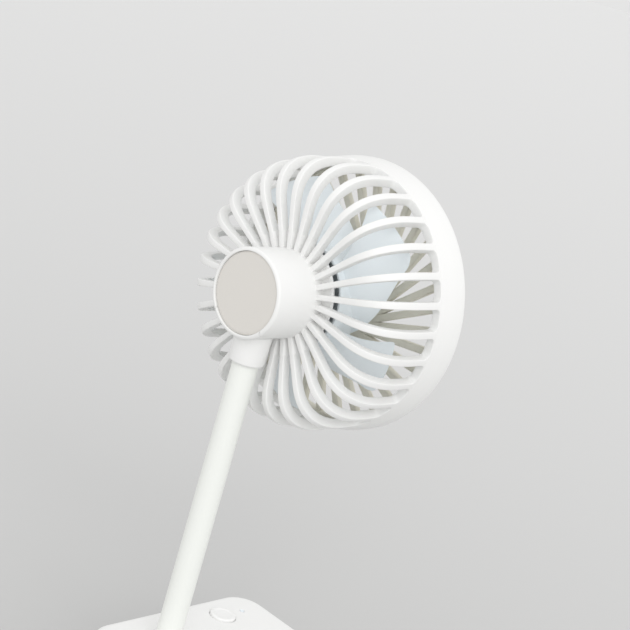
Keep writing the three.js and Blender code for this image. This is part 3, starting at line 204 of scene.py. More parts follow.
def make_grain():
    group = bpy.data.node_groups.new("moulded_grain", "ShaderNodeTree")
    add_socket(group, "Colour", "INPUT", "NodeSocketColor")
    add_socket(group, "Roughness", "INPUT", "NodeSocketFloat", 0.4)
    add_socket(group, "Grain size", "INPUT", "NodeSocketFloat", 0.4)
    add_socket(group, "Bump", "INPUT", "NodeSocketFloat", 0.02)
    add_socket(group, "Mottle", "INPUT", "NodeSocketFloat", 0.02)
    add_socket(group, "Colour", "OUTPUT", "NodeSocketColor")
    add_socket(group, "Roughness", "OUTPUT", "NodeSocketFloat")
    add_socket(group, "Normal", "OUTPUT", "NodeSocketVector")

    entry = place_node(group, "NodeGroupInput", -900, 0)
    leave = place_node(group, "NodeGroupOutput", 500, 0)
    place = place_node(group, "ShaderNodeTexCoord", -900, -300)
    scale = place_node(group, "ShaderNodeMath", -700, -150, operation="DIVIDE")
    scale.inputs[0].default_value = 1 / MM
    fine = place_node(group, "ShaderNodeTexNoise", -500, -150)
    fine.inputs["Detail"].default_value = 2.0
    broad = place_node(group, "ShaderNodeTexNoise", -500, -450)
    broad.inputs["Scale"].default_value = MOTTLE_SCALE
    broad.inputs["Detail"].default_value = 3.0
    bump = place_node(group, "ShaderNodeBump", 200, -400)
    bump.inputs["Strength"].default_value = 0.6
    depth = place_node(group, "ShaderNodeMath", -100, -500, operation="MULTIPLY")
    depth.inputs[1].default_value = MM
    shade = place_node(group, "ShaderNodeMapRange", -250, 250)
    shade.inputs["To Max"].default_value = 1.0
    darker = place_node(group, "ShaderNodeMath", -450, 300, operation="SUBTRACT")
    darker.inputs[0].default_value = 1.0
    tint = place_node(group, "ShaderNodeVectorMath", 0, 200, operation="SCALE")
    rough = place_node(group, "ShaderNodeMath", 0, 0, operation="MULTIPLY_ADD")
    rough.inputs[1].default_value = ROUGH_SPREAD
    offset = place_node(group, "ShaderNodeMath", -250, -50, operation="SUBTRACT")
    offset.inputs[1].default_value = ROUGH_SPREAD / 2

    links = group.links
    links.new(entry.outputs["Grain size"], scale.inputs[1])
    links.new(scale.outputs[0], fine.inputs["Scale"])
    links.new(place.outputs["Object"], fine.inputs["Vector"])
    links.new(place.outputs["Object"], broad.inputs["Vector"])
    links.new(entry.outputs["Bump"], depth.inputs[0])
    links.new(depth.outputs[0], bump.inputs["Distance"])
    links.new(fine.outputs["Fac"], bump.inputs["Height"])
    links.new(entry.outputs["Mottle"], darker.inputs[1])
    links.new(broad.outputs["Fac"], shade.inputs["Value"])
    links.new(darker.outputs[0], shade.inputs["To Min"])
    links.new(entry.outputs["Colour"], tint.inputs[0])
    links.new(shade.outputs[0], tint.inputs["Scale"])
    links.new(entry.outputs["Roughness"], offset.inputs[0])
    links.new(broad.outputs["Fac"], rough.inputs[0])
    links.new(offset.outputs[0], rough.inputs[2])
    links.new(tint.outputs[0], leave.inputs["Colour"])
    links.new(rough.outputs[0], leave.inputs["Roughness"])
    links.new(bump.outputs[0], leave.inputs["Normal"])
    return group


grain = make_grain()
print("grain group with", len(grain.nodes), "nodes")

# %% Materials, one for each slot of the record
def make_material(name, colour, roughness, size=0.4, bump=0.02, mottle=0.02, **shader):
    material = bpy.data.materials.new(name)
    material.use_nodes = True
    tree = material.node_tree
    principled = tree.nodes["Principled BSDF"]
    surface = place_node(tree, "ShaderNodeGroup", -300, 200, node_tree=grain)
    surface.inputs["Colour"].default_value = (*colour, 1.0)
    surface.inputs["Roughness"].default_value = roughness
    surface.inputs["Grain size"].default_value = size
    surface.inputs["Bump"].default_value = bump
    surface.inputs["Mottle"].default_value = mottle
    tree.links.new(surface.outputs["Colour"], principled.inputs["Base Color"])
    tree.links.new(surface.outputs["Roughness"], principled.inputs["Roughness"])
    tree.links.new(surface.outputs["Normal"], principled.inputs["Normal"])
    for socket, value in shader.items():
        principled.inputs[socket.replace("_", " ")].default_value = value
    return material


MATERIALS = {
    "white_shell": make_material("white_shell", (0.86, 0.86, 0.85), 0.5),
    # The grille's cream is darker and warmer than the white shell: painted shade for the bars, which are
    # seen in shade inside the basket.
    "cream_grille": make_material("cream_grille", (0.76, 0.74, 0.65), 0.5),
    "pale_blue": make_material("pale_blue", (0.83, 0.885, 0.915), 0.45),
    "warm_grey_disc": make_material("warm_grey_disc", (0.72, 0.695, 0.655), 0.6, 0.35, 0.04, 0.03),
    "silicone": make_material("silicone", (0.86, 0.875, 0.84), 0.55, 0.5, 0.015),
    "grey_rubber": make_material("grey_rubber", (0.27, 0.27, 0.265), 0.8, 0.3, 0.06, 0.08),
    "black_plastic": make_material("black_plastic", (0.006, 0.006, 0.007), 0.6, 0.3, 0.04),
    "steel": make_material("steel", (0.55, 0.56, 0.57), 0.32, 0.15, 0.01, 0.05, Metallic=1.0),
    "bronze": make_material("bronze", (0.55, 0.38, 0.18), 0.42, 0.2, 0.03, 0.1, Metallic=1.0),
    "magnet": make_material("magnet", (0.05, 0.05, 0.055), 0.55, 0.3, 0.04),
    "board": make_material("board", (0.02, 0.16, 0.07), 0.35, 0.8, 0.02, 0.1),
    "cell_can": make_material("cell_can", (0.08, 0.22, 0.45), 0.3, 1.0, 0.01),
    "lens": make_material("lens", (0.80, 0.86, 0.90), 0.15, 0.5, 0.0, 0.0),
    "red_lead": make_material("red_lead", (0.45, 0.02, 0.02), 0.45, 0.3, 0.02),
    "black_lead": make_material("black_lead", (0.015, 0.015, 0.015), 0.45, 0.3, 0.02),
}
for row in frame["record"]["subparts"]:
    node = frame["nodes"][row["node"]]
    node.data.materials.clear()
    node.data.materials.append(MATERIALS[row["material_slot"]])
print(len(MATERIALS), "materials")

# %% [markdown]
# ## Tools for shapes
#
# Most pieces are an outline turned about an axis or carried along a line. Corners of an outline may carry
# a radius, and they are rounded before the outline is used.

# %% Outlines
def rounded(corners, steps=6):
    """An outline with round corners: each corner is (u, v), or (u, v, radius)."""
    points = []
    for i, (u, v, *radius) in enumerate(corners):
        here = Vector((u, v))
        if not radius:
            points.append(here)
            continue
        towards = [(Vector(corners[j % len(corners)][:2]) - here).normalized() for j in (i - 1, i + 1)]
        half = towards[0].angle(towards[1]) / 2
        centre = here + (towards[0] + towards[1]).normalized() * radius[0] / math.sin(half)
        ends = [here + way * radius[0] / math.tan(half) - centre for way in towards]
        first = math.atan2(ends[0].y, ends[0].x)
        sweep = math.remainder(math.atan2(ends[1].y, ends[1].x) - first, 2 * math.pi)
        for k in range(steps + 1):
            angle = first + sweep * k / steps
            points.append(centre + radius[0] * Vector((math.cos(angle), math.sin(angle))))
    return points


def rounded_plan(width, length, corner, inset=0.0):
    """A rectangle with round corners about the middle of the base, drawn in by inset."""
    u, v, r = width / 2 - inset, length / 2 - inset, corner - inset
    return rounded([(u, -v, r), (u, v, r), (-u, v, r), (-u, -v, r)], steps=12)


# %% Turned, carried and joined solids
def select_verts(result):
    return [item for item in result["geom"] if isinstance(item, bmesh.types.BMVert)]


def lathe(outline, place, centre, axis, steps):
    """Turns an outline of (radius, along) points; place() puts such a point in the part's frame."""
    bm = bmesh.new()
    verts = [bm.verts.new(place(radius, along)) for radius, along in outline]
    edges = [bm.edges.new(pair) for pair in zip(verts, verts[1:])]
    if outline[0][0] > 0:
        edges.append(bm.edges.new((verts[-1], verts[0])))
    bmesh.ops.spin(
        bm, geom=verts + edges, cent=centre, axis=axis,
        angle=2 * math.pi, steps=steps, use_merge=True,
    )
    bmesh.ops.remove_doubles(bm, verts=bm.verts, dist=1e-4)
    bmesh.ops.recalc_face_normals(bm, faces=bm.faces)
    return bm


def turned_on_fan(outline, steps=120):
    return lathe(outline, lambda r, a: (r, HEAD_Y - a, AXIS_Z), (0, HEAD_Y, AXIS_Z), (0, 1, 0), steps)


def turned_upright(outline, x=0.0, y=0.0, steps=64):
    return lathe(outline, lambda r, z: (x + r, y, z), (x, y, 0), (0, 0, 1), steps)


def turned_across(outline, y, z, steps=48):
    return lathe(outline, lambda r, x: (x, y, z + r), (0, y, z), (1, 0, 0), steps)


def carried(points, shift):
    """A flat outline of 3-D points carried along a shift into a solid."""
    bm = bmesh.new()
    face = bm.faces.new([bm.verts.new(point) for point in points])
    result = bmesh.ops.extrude_face_region(bm, geom=[face])
    bmesh.ops.translate(bm, vec=shift, verts=select_verts(result))
    bmesh.ops.recalc_face_normals(bm, faces=bm.faces)
    return bm


def box(low, high):
    bm = bmesh.new()
    low, high = Vector(low), Vector(high)
    matrix = Matrix.Translation((low + high) / 2) @ Matrix.Diagonal((*(high - low), 1.0))
    bmesh.ops.create_cube(bm, size=1.0, matrix=matrix)
    return bm


def stacked(loops):
    """Closed loops of 3-D points, all of one count, joined in order and capped."""
    bm = bmesh.new()
    rows = [[bm.verts.new(point) for point in loop] for loop in loops]
    for low, high in zip(rows, rows[1:]):
        for k in range(len(low)):
            bm.faces.new((low[k - 1], low[k], high[k], high[k - 1]))
    bm.faces.new(rows[0])
    bm.faces.new(rows[-1])
    bmesh.ops.recalc_face_normals(bm, faces=bm.faces)
    return bm


def joined(parts):
    """Several bmeshes as one, each solid kept as it is."""
    whole = bmesh.new()
    for part in parts:
        mesh = bpy.data.meshes.new("part")
        part.to_mesh(mesh)
        part.free()
        whole.from_mesh(mesh)
        bpy.data.meshes.remove(mesh)
    return whole


def boolean(base, tool, operation):
    """Cuts, joins or intersects one solid with another."""
    objects = []
    for bm in (base, tool):
        mesh = bpy.data.meshes.new("scratch")
        bm.to_mesh(mesh)
        bm.free()
        objects.append(bpy.data.objects.new("scratch", mesh))
        scene.collection.objects.link(objects[-1])
    modifier = objects[0].modifiers.new("boolean", "BOOLEAN")
    modifier.object = objects[1]
    modifier.operation = operation
    modifier.solver = "EXACT"
    result = bmesh.new()
    result.from_object(objects[0], bpy.context.evaluated_depsgraph_get())
    for scratch in objects:
        bpy.data.meshes.remove(scratch.data)
    bmesh.ops.remove_doubles(result, verts=result.verts, dist=1e-4)
    return result


def soften(bm, size, sharper_than=40, segments=3, where=None):
    """Rounds the edges that turn more sharply than an angle."""
    limit = math.radians(sharper_than)
    edges = [edge for edge in bm.edges if len(edge.link_faces) == 2 and edge.calc_face_angle(0) > limit]
    if where:
        edges = [edge for edge in edges if all(where(vert.co) for vert in edge.verts)]
    bmesh.ops.bevel(
        bm, geom=edges, offset=size, segments=segments, profile=0.5, affect="EDGES",
        clamp_overlap=True, material=-1,
    )
    return bm


def around_fan(bm, count, start=0.0):
    """Turns a solid about the fan's axis to its first place, and copies it to the others."""
    centre, axis = (0, HEAD_Y, AXIS_Z), (0, 1, 0)
    bmesh.ops.rotate(bm, cent=centre, matrix=Matrix.Rotation(-math.radians(start), 3, axis), verts=bm.verts)
    bmesh.ops.spin(
        bm, geom=bm.verts[:] + bm.edges[:] + bm.faces[:], cent=centre, axis=axis,
        angle=2 * math.pi * (count - 1) / count, steps=count - 1, use_duplicate=True,
    )
    return bm


def copy_of(node):
    """A CAD node's solid in millimetres, with its flat faces whole again."""
    bm = bmesh.new()
    bm.from_mesh(frame["nodes"][node].data)
    bmesh.ops.scale(bm, vec=(1 / MM,) * 3, verts=bm.verts)
    bmesh.ops.remove_doubles(bm, verts=bm.verts, dist=0.003)
    bmesh.ops.dissolve_limit(bm, angle_limit=math.radians(1), verts=bm.verts, edges=bm.edges)
    return bm


# %% Finished pieces
def add_piece(bm, name, body, slot, replaces=(), smooth=35):
    """Makes a finished piece: in metres, with its material, its body and the nodes it stands for."""
    bmesh.ops.recalc_face_normals(bm, faces=bm.faces)
    bmesh.ops.scale(bm, vec=(MM,) * 3, verts=bm.verts)
    mesh = bpy.data.meshes.new(name)
    bm.to_mesh(mesh)
    bm.free()
    mesh.shade_smooth()
    mesh.set_sharp_from_angle(angle=math.radians(smooth))
    mesh.materials.append(MATERIALS[slot])
    piece = bpy.data.objects.new(name, mesh)
    scene.collection.objects.link(piece)
    if body:
        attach(piece, body)
    if replaces:
        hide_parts(*replaces)
    print(name, "has", len(mesh.polygons), "faces")
    return piece


# %% [markdown]
# ## Rear grille
#
# The fins and the ring are one moulding. Half of one fin, with its share of the ring, is laid out as rows
# of points from the drum to the ring's front edge. It is mirrored, its edges are rounded, and it is
# copied round the axis. Near the ring a fin widens along a quarter circle, which rounds the slots' ends.

# %% Side outline of a fin
def fin_face(back, radius, steps=28):
    """One face of a fin from inside the drum to the start of the slot's round corner."""
    rise = SHOULDER_FRONT - back - FIN_LEAN * (radius - DRUM_R)
    points = [(DRUM_R - FIN_ROOT, back), (DRUM_R + FIN_FIRST_ROW, back + FIN_FIRST_ROW * FIN_LEAN)]
    for i in range(steps + 1):
        angle = i / steps * math.pi / 2
        r = SHOULDER_START_R + (radius - SHOULDER_START_R) * math.sin(angle) ** (2 / SHOULDER_POWER)
        forwards = 1 - math.cos(angle) ** (2 / SHOULDER_POWER)
        points.append((r, back + FIN_LEAN * (r - DRUM_R) + rise * forwards))
    return points + [(radius, SLOT_END - SLOT_CORNER)]


outer_face = fin_face(FIN_BACK, SHOULDER_R)
inner_face = fin_face(FIN_BACK + FIN_DEPTH, SHOULDER_INNER_R)
print(len(outer_face), "rows along a fin")

# %% Half a fin with its share of the ring
RING_ROWS = (  # outer radius, inner radius, depth
    (62.2, 57.8, SLOT_END + 1.6),
    (62.7, 58.4, 62.0),
    (63.2, 59.0, 65.5),
    (63.4, 59.1, 67.2),
    (63.4, 60.4, 67.3),
    (63.6, 60.4, 69.0),
    (63.6, 60.4, 73.0),
)
HALF_PITCH = 180 / FIN_COUNT


def fan_place(radius, depth, degrees):
    angle = math.radians(degrees)
    return (radius * math.cos(angle), HEAD_Y - depth, AXIS_Z + radius * math.sin(angle))


def fin_rows():
    """Rows of (outer point, inner point, half width) from the drum to the slot's end."""
    rows = []
    low, high = FIN_WIDTHS
    for i, (outer, inner) in enumerate(zip(outer_face, inner_face)):
        share = min(1.0, (outer[0] - DRUM_R) / (SHOULDER_R - DRUM_R))
        rows.append((outer, inner, (low + (high - low) * max(share, 0.0)) / 2))
    for k in range(1, 7):
        angle = k / 6 * math.pi / 2
        depth = SLOT_END - SLOT_CORNER * (1 - math.sin(angle))
        flare = SLOT_CORNER * (1 - math.cos(angle))
        rows.append(((SHOULDER_R, depth), (SHOULDER_INNER_R, depth), high / 2 + flare))
    return rows


def half_fin(side):
    bm = bmesh.new()
    strips = []
    for outer, inner, half in fin_rows():
        edge = math.degrees(math.asin(half / max(outer[0], DRUM_R)))
        inner_edge = math.degrees(math.asin(half / max(inner[0], DRUM_R)))
        strips.append([
            bm.verts.new(fan_place(*outer, 0)),
            bm.verts.new(fan_place(*outer, side * edge)),
            bm.verts.new(fan_place(*inner, side * inner_edge)),
            bm.verts.new(fan_place(*inner, 0)),
        ])
    for low, high in zip(strips, strips[1:]):
        for k in range(3):
            bm.faces.new((low[k], low[k + 1], high[k + 1], high[k]))
    bm.faces.new(strips[0])
    last = strips[-1]
    depth = SLOT_END
    end_outer = bm.verts.new(fan_place(SHOULDER_R, depth, side * HALF_PITCH))
    end_inner = bm.verts.new(fan_place(SHOULDER_INNER_R, depth, side * HALF_PITCH))
    bm.faces.new((last[1], end_outer, end_inner, last[2]))
    before = [last[0], last[1], end_outer, end_inner, last[2], last[3]]
    for outer_r, inner_r, depth in RING_ROWS:
        outer = [bm.verts.new(fan_place(outer_r, depth, side * d)) for d in (0, edge, HALF_PITCH)]
        inner = [bm.verts.new(fan_place(inner_r, depth, side * d)) for d in (HALF_PITCH, inner_edge, 0)]
        row = outer + inner
        for a, b in ((0, 1), (1, 2), (3, 4), (4, 5)):
            bm.faces.new((before[a], before[b], row[b], row[a]))
        before = row
    bm.faces.new((before[0], before[1], before[4], before[5]))
    bm.faces.new((before[1], before[2], before[3], before[4]))
    return bm


basket = around_fan(joined([half_fin(1), half_fin(-1)]), FIN_COUNT, FIN_START)
bmesh.ops.remove_doubles(basket, verts=basket.verts, dist=2e-3)
bmesh.ops.recalc_face_normals(basket, faces=basket.faces)
soften(basket, FIN_EDGE, 50, 4, where=lambda co: math.hypot(co.x, co.z - AXIS_Z) > DRUM_R - 0.5)
open_edges = sum(not edge.is_manifold for edge in basket.edges)
print("fins and ring:", len(basket.faces), "faces,", open_edges, "open edges")

# %% Drum with its flange, and the notch in its underside
NOTCH_HALF = 14.0
NOTCH_LENGTH = 13.0


def drum_outline(front):
    return [
        (DRUM_INNER_R, 0, 0.3),
        (DRUM_R, 0, DRUM_EDGE),
        (DRUM_R, front),
    ]


def notch(gap):
    return box(
        (-NOTCH_HALF + gap, HEAD_Y - NOTCH_LENGTH + gap, AXIS_Z - 30),
        (NOTCH_HALF - gap, HEAD_Y + 1, AXIS_Z - 10),
    )


drum = turned_on_fan(rounded(drum_outline(FLANGE_BACK) + [
    (FLANGE_R, FLANGE_BACK, 0.3),
    (FLANGE_R, FLANGE_FRONT, 0.3),
    (FLANGE_HOLE_R, FLANGE_FRONT),
    (FLANGE_HOLE_R, FLANGE_BACK),
    (DRUM_INNER_R, FLANGE_BACK),
]))
drum = boolean(drum, notch(0), "DIFFERENCE")
add_piece(joined([drum, basket]), "rear_grille_body", "head", "white_shell", ["rear_grille"], smooth=40)

# %% Disc in the drum's rear end
CAP_R = DRUM_INNER_R - GAP
CAP_BACK = 0.6
CAP_FRONT = 2.2
cap = turned_on_fan(rounded([
    (0, CAP_BACK),
    (CAP_R - 1.1, CAP_BACK, 0.3),
    (CAP_R, 0.95, 0.3),
    (CAP_R, CAP_FRONT),
    (0, CAP_FRONT),
]))
add_piece(cap, "rear_disc", "head", "warm_grey_disc", ["rear_cap"])

# %% Neck bracket: the saddle in the notch and the collar below it
saddle = turned_on_fan(rounded(drum_outline(FLANGE_BACK) + [(DRUM_INNER_R, FLANGE_BACK)]))
saddle = boolean(saddle, notch(NOTCH_GAP), "INTERSECT")
collar = turned_upright(rounded([
    (0, COLLAR_TOP),
    (COLLAR_R, COLLAR_TOP),
    (COLLAR_R, AXIS_Z - 20),
    (8.1, AXIS_Z - COLLAR_END, 1.1),
    (NECK_R + GAP, AXIS_Z - COLLAR_END, 0.4),
    (NECK_R + GAP, COLLAR_ROOF),
    (0, COLLAR_ROOF),
]), y=NECK_Y)
space_r = DRUM_R + 0.05
drum_space = turned_on_fan([(0, -1), (space_r, -1), (space_r, FLANGE_FRONT), (0, FLANGE_FRONT)])
collar = boolean(collar, drum_space, "DIFFERENCE")
add_piece(joined([saddle, collar]), "neck_saddle", "head", "white_shell", ["neck_bracket"])

# %% [markdown]
# ## Front grille
#
# Straight bars run from the hub to the rim and all miss the centre by one distance, like a pinwheel.

# %% Front grille
rim = turned_on_fan(rounded([
    (RIM_R - RIM_WALL, RIM_BACK, 0.6),
    (RIM_R, RIM_BACK, 0.4),
    (RIM_R, RIM_FRONT, 0.8),
    (RIM_R - RIM_WALL, RIM_FRONT, 1.0),
]))
hub = turned_on_fan(rounded([
    (0, GRILLE_HUB_FLOOR),
    (GRILLE_HUB_R - 2, GRILLE_HUB_FLOOR),
    (GRILLE_HUB_R - 2, BAR_BACK, 0.5),
    (GRILLE_HUB_R, BAR_BACK, 0.8),
    (GRILLE_HUB_R, GRILLE_FRONT, 1.8),
    (BADGE_SEAT_R, GRILLE_FRONT, 0.3),
    (BADGE_SEAT_R, BADGE_SEAT),
    (0, BADGE_SEAT),
]))
bar_from = math.sqrt((GRILLE_HUB_R - 1) ** 2 - BAR_OFFSET**2)
bar_to = math.sqrt((RIM_R - RIM_WALL / 2) ** 2 - BAR_OFFSET**2)
bar = box(
    (bar_from, HEAD_Y - BAR_FRONT, AXIS_Z + BAR_OFFSET - BAR_WIDTH / 2),
    (bar_to, HEAD_Y - BAR_BACK, AXIS_Z + BAR_OFFSET + BAR_WIDTH / 2),
)
bars = around_fan(soften(bar, 0.7, segments=3), BAR_COUNT, BAR_START)
add_piece(joined([rim, hub, bars]), "front_grille_body", "head", "cream_grille", ["front_grille"])

badge = turned_on_fan(rounded([
    (0, BADGE_BACK),
    (BADGE_R, BADGE_BACK),
    (BADGE_R, 76.4, 0.9),
    (9.0, 76.6),
    (0, 76.8),
]))
add_piece(badge, "badge", "head", "white_shell", ["front_badge"])

# %% [markdown]
# ## Impeller
#
# One blade is a grid whose columns run from the rear edge to the front edge and whose rows run from the
# hub to the tip. The grid is bent into place, thickened, rounded and copied round the axis. At its tip a
# blade rises evenly, and at its root it starts flat at the rear edge and gets steeper towards the front.

# %% Impeller
BLADE_THICK = 1.3
TIP_LENGTH = 33.0
FRONT_CORNER = 5.0
REAR_CORNER = 1.5
TIP_REAR, TIP_FRONT = 110, 145  # directions of the tip's two ends, in degrees from +X towards +Z
ROOT_REAR_TURN, ROOT_FRONT_TURN = 17, 60  # degrees by which the root's two ends lie beyond them
REAR_DEPTH, REAR_RISE = 42, 3.3  # depth of the rear edge at the tip, and how much less at the root
FRONT_DEPTH = 51.6


def corner_drop(distance, radius):
    """How much a round corner takes off the tip at a distance from the edge."""
    inside = max(0.0, radius - distance)
    return radius - math.sqrt(radius**2 - inside**2)


def blade_place(across, outwards):
    """A point of the blade's middle surface: across from rear to front, outwards from root to tip."""
    drop = max(
        corner_drop((1 - across) * TIP_LENGTH, FRONT_CORNER),
        corner_drop(across * TIP_LENGTH, REAR_CORNER),
    )
    radius = BLADE_ROOT_R + (BLADE_TIP_R - drop - BLADE_ROOT_R) * outwards
    inwards = (BLADE_TIP_R - radius) / (BLADE_TIP_R - BLADE_ROOT_R)
    rear = TIP_REAR + ROOT_REAR_TURN * inwards
    front = TIP_FRONT + ROOT_FRONT_TURN * inwards**2
    rear_depth = REAR_DEPTH - REAR_RISE * inwards
    depth = rear_depth + (FRONT_DEPTH - rear_depth) * across ** (1 + inwards)
    return fan_place(radius, depth, rear + (front - rear) * across)


blade = bmesh.new()
bmesh.ops.create_grid(blade, x_segments=36, y_segments=20, size=0.5)
for vert in blade.verts:
    across = 0.5 - 0.5 * math.cos(math.pi * (vert.co.x + 0.5))
    vert.co = blade_place(across, vert.co.y + 0.5)
bmesh.ops.solidify(blade, geom=blade.faces[:], thickness=BLADE_THICK)
bmesh.ops.recalc_face_normals(blade, faces=blade.faces)
soften(blade, 0.45, 50, 3)
blades = around_fan(blade, BLADE_COUNT)

fan_hub = turned_on_fan(rounded([
    (HUB_R - HUB_WALL, HUB_BACK, 0.5),
    (HUB_R, HUB_BACK, 0.5),
    (HUB_R, HUB_SHOULDER, 2.5),
    (HUB_R - 3, HUB_FRONT - 1, 2.0),
    (HUB_R - 8, HUB_FRONT, 1.0),
    (SHAFT_HOLE_R, HUB_FRONT),
    (SHAFT_HOLE_R, HUB_BOSS_BACK),
    (HUB_BOSS_R, HUB_BOSS_BACK, 0.3),
    (HUB_BOSS_R, HUB_FRONT - HUB_WALL),
    (HUB_R - 8, HUB_FRONT - HUB_WALL),
    (HUB_R - 4, HUB_FRONT - HUB_WALL - 1),
    (HUB_R - HUB_WALL, HUB_SHOULDER),
]))
add_piece(joined([fan_hub, blades]), "fan_wheel", "impeller", "pale_blue", ["impeller"], smooth=45)

# %% Nut on the shaft, and a black ring of painted shade behind the impeller
NUT_R = 4.5
NUT_BACK = 57.3
NUT_FLOOR = 60.3
nut = turned_on_fan(rounded([
    (0, NUT_FLOOR),
    (SHAFT_HOLE_R, NUT_FLOOR),
    (SHAFT_HOLE_R, NUT_BACK),
    (NUT_R, NUT_BACK, 0.2),
    (NUT_R, 59.6, 1.2),
    (2.6, 61.0, 0.8),
    (0, 61.3),
]), steps=48)
add_piece(nut, "wheel_nut", "impeller", "white_shell", ["impeller_nut"])

# A black ring fills the gap between the drum and the impeller's hub: painted shade, a dark piece put where
# only shade falls.
SHADE_RING_INNER_R = 10.4
SHADE_RING_BACK = 30.3
SHADE_RING_FRONT = 33.9
painted_shade_ring = turned_on_fan(rounded([
    (SHADE_RING_INNER_R, SHADE_RING_BACK),
    (21.0, SHADE_RING_BACK, 0.4),
    (20.6, SHADE_RING_FRONT, 0.4),
    (SHADE_RING_INNER_R, SHADE_RING_FRONT),
]))
add_piece(painted_shade_ring, "painted_shade_ring", "head", "black_plastic", ["motor_damper"])

# %% [markdown]
# ## Neck
#
# The sleeve is smooth. It is cut halfway between the bends, and the pieces between the bends are not
# attached to any body.

# %% Neck
def sleeve(low, high, rings=14):
    rows = [(NECK_R, low + (high - low) * i / rings) for i in range(rings + 1)]
    bm = bmesh.new()
    verts = [bm.verts.new((radius, NECK_Y, height)) for radius, height in rows]
    edges = [bm.edges.new(pair) for pair in zip(verts, verts[1:])]
    bmesh.ops.spin(
        bm, geom=verts + edges, cent=(0, NECK_Y, 0), axis=(0, 0, 1),
        angle=2 * math.pi, steps=64, use_merge=True,
    )
    return bm


STEM_R = 5.0
STEM_END = 33.2
SKIRT_R = 9.5  # the sleeve's foot, which lies on the housing
SKIRT_BACK = 42.2
stem = turned_upright(rounded([
    (0, STEM_END),
    (STEM_R, STEM_END),
    (STEM_R, SKIRT_BACK),
    (SKIRT_R, SKIRT_BACK, 0.2),
    (SKIRT_R, 43.2, 0.8),
    (NECK_R, 46.9, 3.0),
    (NECK_R, BENDS[0] - BEND_REACH),
    (0, BENDS[0] - BEND_REACH),
]), y=NECK_Y)
add_piece(stem, "neck_foot", "housing", "silicone", ["neck_stem"])

for i, bend in enumerate(BENDS):
    nodes = [f"neck_link_{i + 1}"] if i < 5 else []
    tube = sleeve(bend - BEND_REACH, bend + BEND_REACH)
    piece = add_piece(tube, f"neck_sleeve_{i + 1}", None, "silicone", nodes)
    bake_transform(piece)

tip = turned_upright(rounded([
    (0, BENDS[-1] + BEND_REACH),
    (NECK_R, BENDS[-1] + BEND_REACH),
    (NECK_R, NECK_TOP, 0.6),
    (0, NECK_TOP),
]), y=NECK_Y)
add_piece(tip, "neck_top", "head", "silicone", ["neck_tip"])

# %% [markdown]
# ## Base
#
# The housing's top is a stack of round-cornered outlines that draw in over its upper edge. A smaller
# stack hollows it. The lower half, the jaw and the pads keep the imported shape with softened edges.

# %% Housing's top
BEYOND = 99.0  # past every side of the housing


def housing_stack(inset):
    top = HOUSING_TOP - inset
    edge = HOUSING_EDGE - inset
    levels = [(HOUSING_SPLIT - 5.0, inset)]
    for k in range(9):
        angle = k / 8 * math.pi / 2
        levels.append((top - edge * (1 - math.sin(angle)), inset + edge * (1 - math.cos(angle))))
    return stacked([
        [(x, y, z) for x, y in rounded_plan(HOUSING_WIDTH, HOUSING_LENGTH, HOUSING_CORNER, drawn_in)]
        for z, drawn_in in levels
    ])


def hole(radius, place, low=34.0, lip=0.4):
    """A cutter for a round hole in the housing's top, with a small lip at its mouth."""
    return turned_upright([
        (0, low),
        (radius, low),
        (radius, HOUSING_TOP - lip),
        (radius + lip, HOUSING_TOP),
        (radius + lip, HOUSING_TOP + 5),
        (0, HOUSING_TOP + 5),
    ], *place, steps=64)


housing = boolean(housing_stack(0), housing_stack(HOUSING_WALL), "DIFFERENCE")
above_split = box((-BEYOND, -BEYOND, HOUSING_SPLIT + GAP), (BEYOND, BEYOND, BEYOND))
housing = boolean(housing, above_split, "INTERSECT")
housing = boolean(housing, hole(BUTTON_R + GAP, BUTTON), "DIFFERENCE")
housing = boolean(housing, hole(LIGHT_R + GAP, LIGHT), "DIFFERENCE")
housing = boolean(housing, hole(NECK_HOLE_R, (0, NECK_Y)), "DIFFERENCE")
socket_mouth = rounded([
    (side * SOCKET_HALF[0], level * SOCKET_HALF[1], SOCKET_CORNER)
    for side, level in ((-1, -1), (1, -1), (1, 1), (-1, 1))
])
inside_wall = HOUSING_WIDTH / 2 - 3
socket_hole = carried([(inside_wall, SOCKET[0] + u, SOCKET[1] + v) for u, v in socket_mouth], (6, 0, 0))
housing = boolean(housing, socket_hole, "DIFFERENCE")
add_piece(housing, "housing_cover", "housing", "white_shell", ["housing_top"], smooth=30)

# %% Housing's lower half, jaw and pads
for node, body, slot, size in (
    ("housing_bottom", "housing", "white_shell", 0.5),
    ("lower_jaw", "clip_base", "white_shell", 0.8),
    ("upper_jaw_pad", "housing", "grey_rubber", 0.2),
    ("lower_jaw_pad", "clip_base", "grey_rubber", 0.2),
    ("foot_pad", "clip_base", "grey_rubber", 0.4),
):
    add_piece(soften(copy_of(node), size, 30, 3), f"{node}_soft", body, slot, [node], smooth=30)

# %% Power button
BUTTON_STEM_R = 2.0
BUTTON_STEM_END = 37.4
BRIM_R = BUTTON_R + 1.5
BRIM_BACK = 38.4
BRIM_FRONT = 39.7
BUTTON_TOP = HOUSING_TOP + 1.2
button = turned_upright(rounded([
    (0, BUTTON_STEM_END),
    (BUTTON_STEM_R, BUTTON_STEM_END),
    (BUTTON_STEM_R, BRIM_BACK),
    (BRIM_R, BRIM_BACK),
    (BRIM_R, BRIM_FRONT),
    (BUTTON_R, BRIM_FRONT),
    (BUTTON_R, BUTTON_TOP, 0.7),
    (BUTTON_R - 1.6, BUTTON_TOP, 0.3),
    (BUTTON_R - 2.4, HOUSING_TOP + 0.9, 0.5),
    (0, HOUSING_TOP + 0.8),
]), *BUTTON)
add_piece(button, "button_cap", "power_button", "white_shell", ["power_button"])
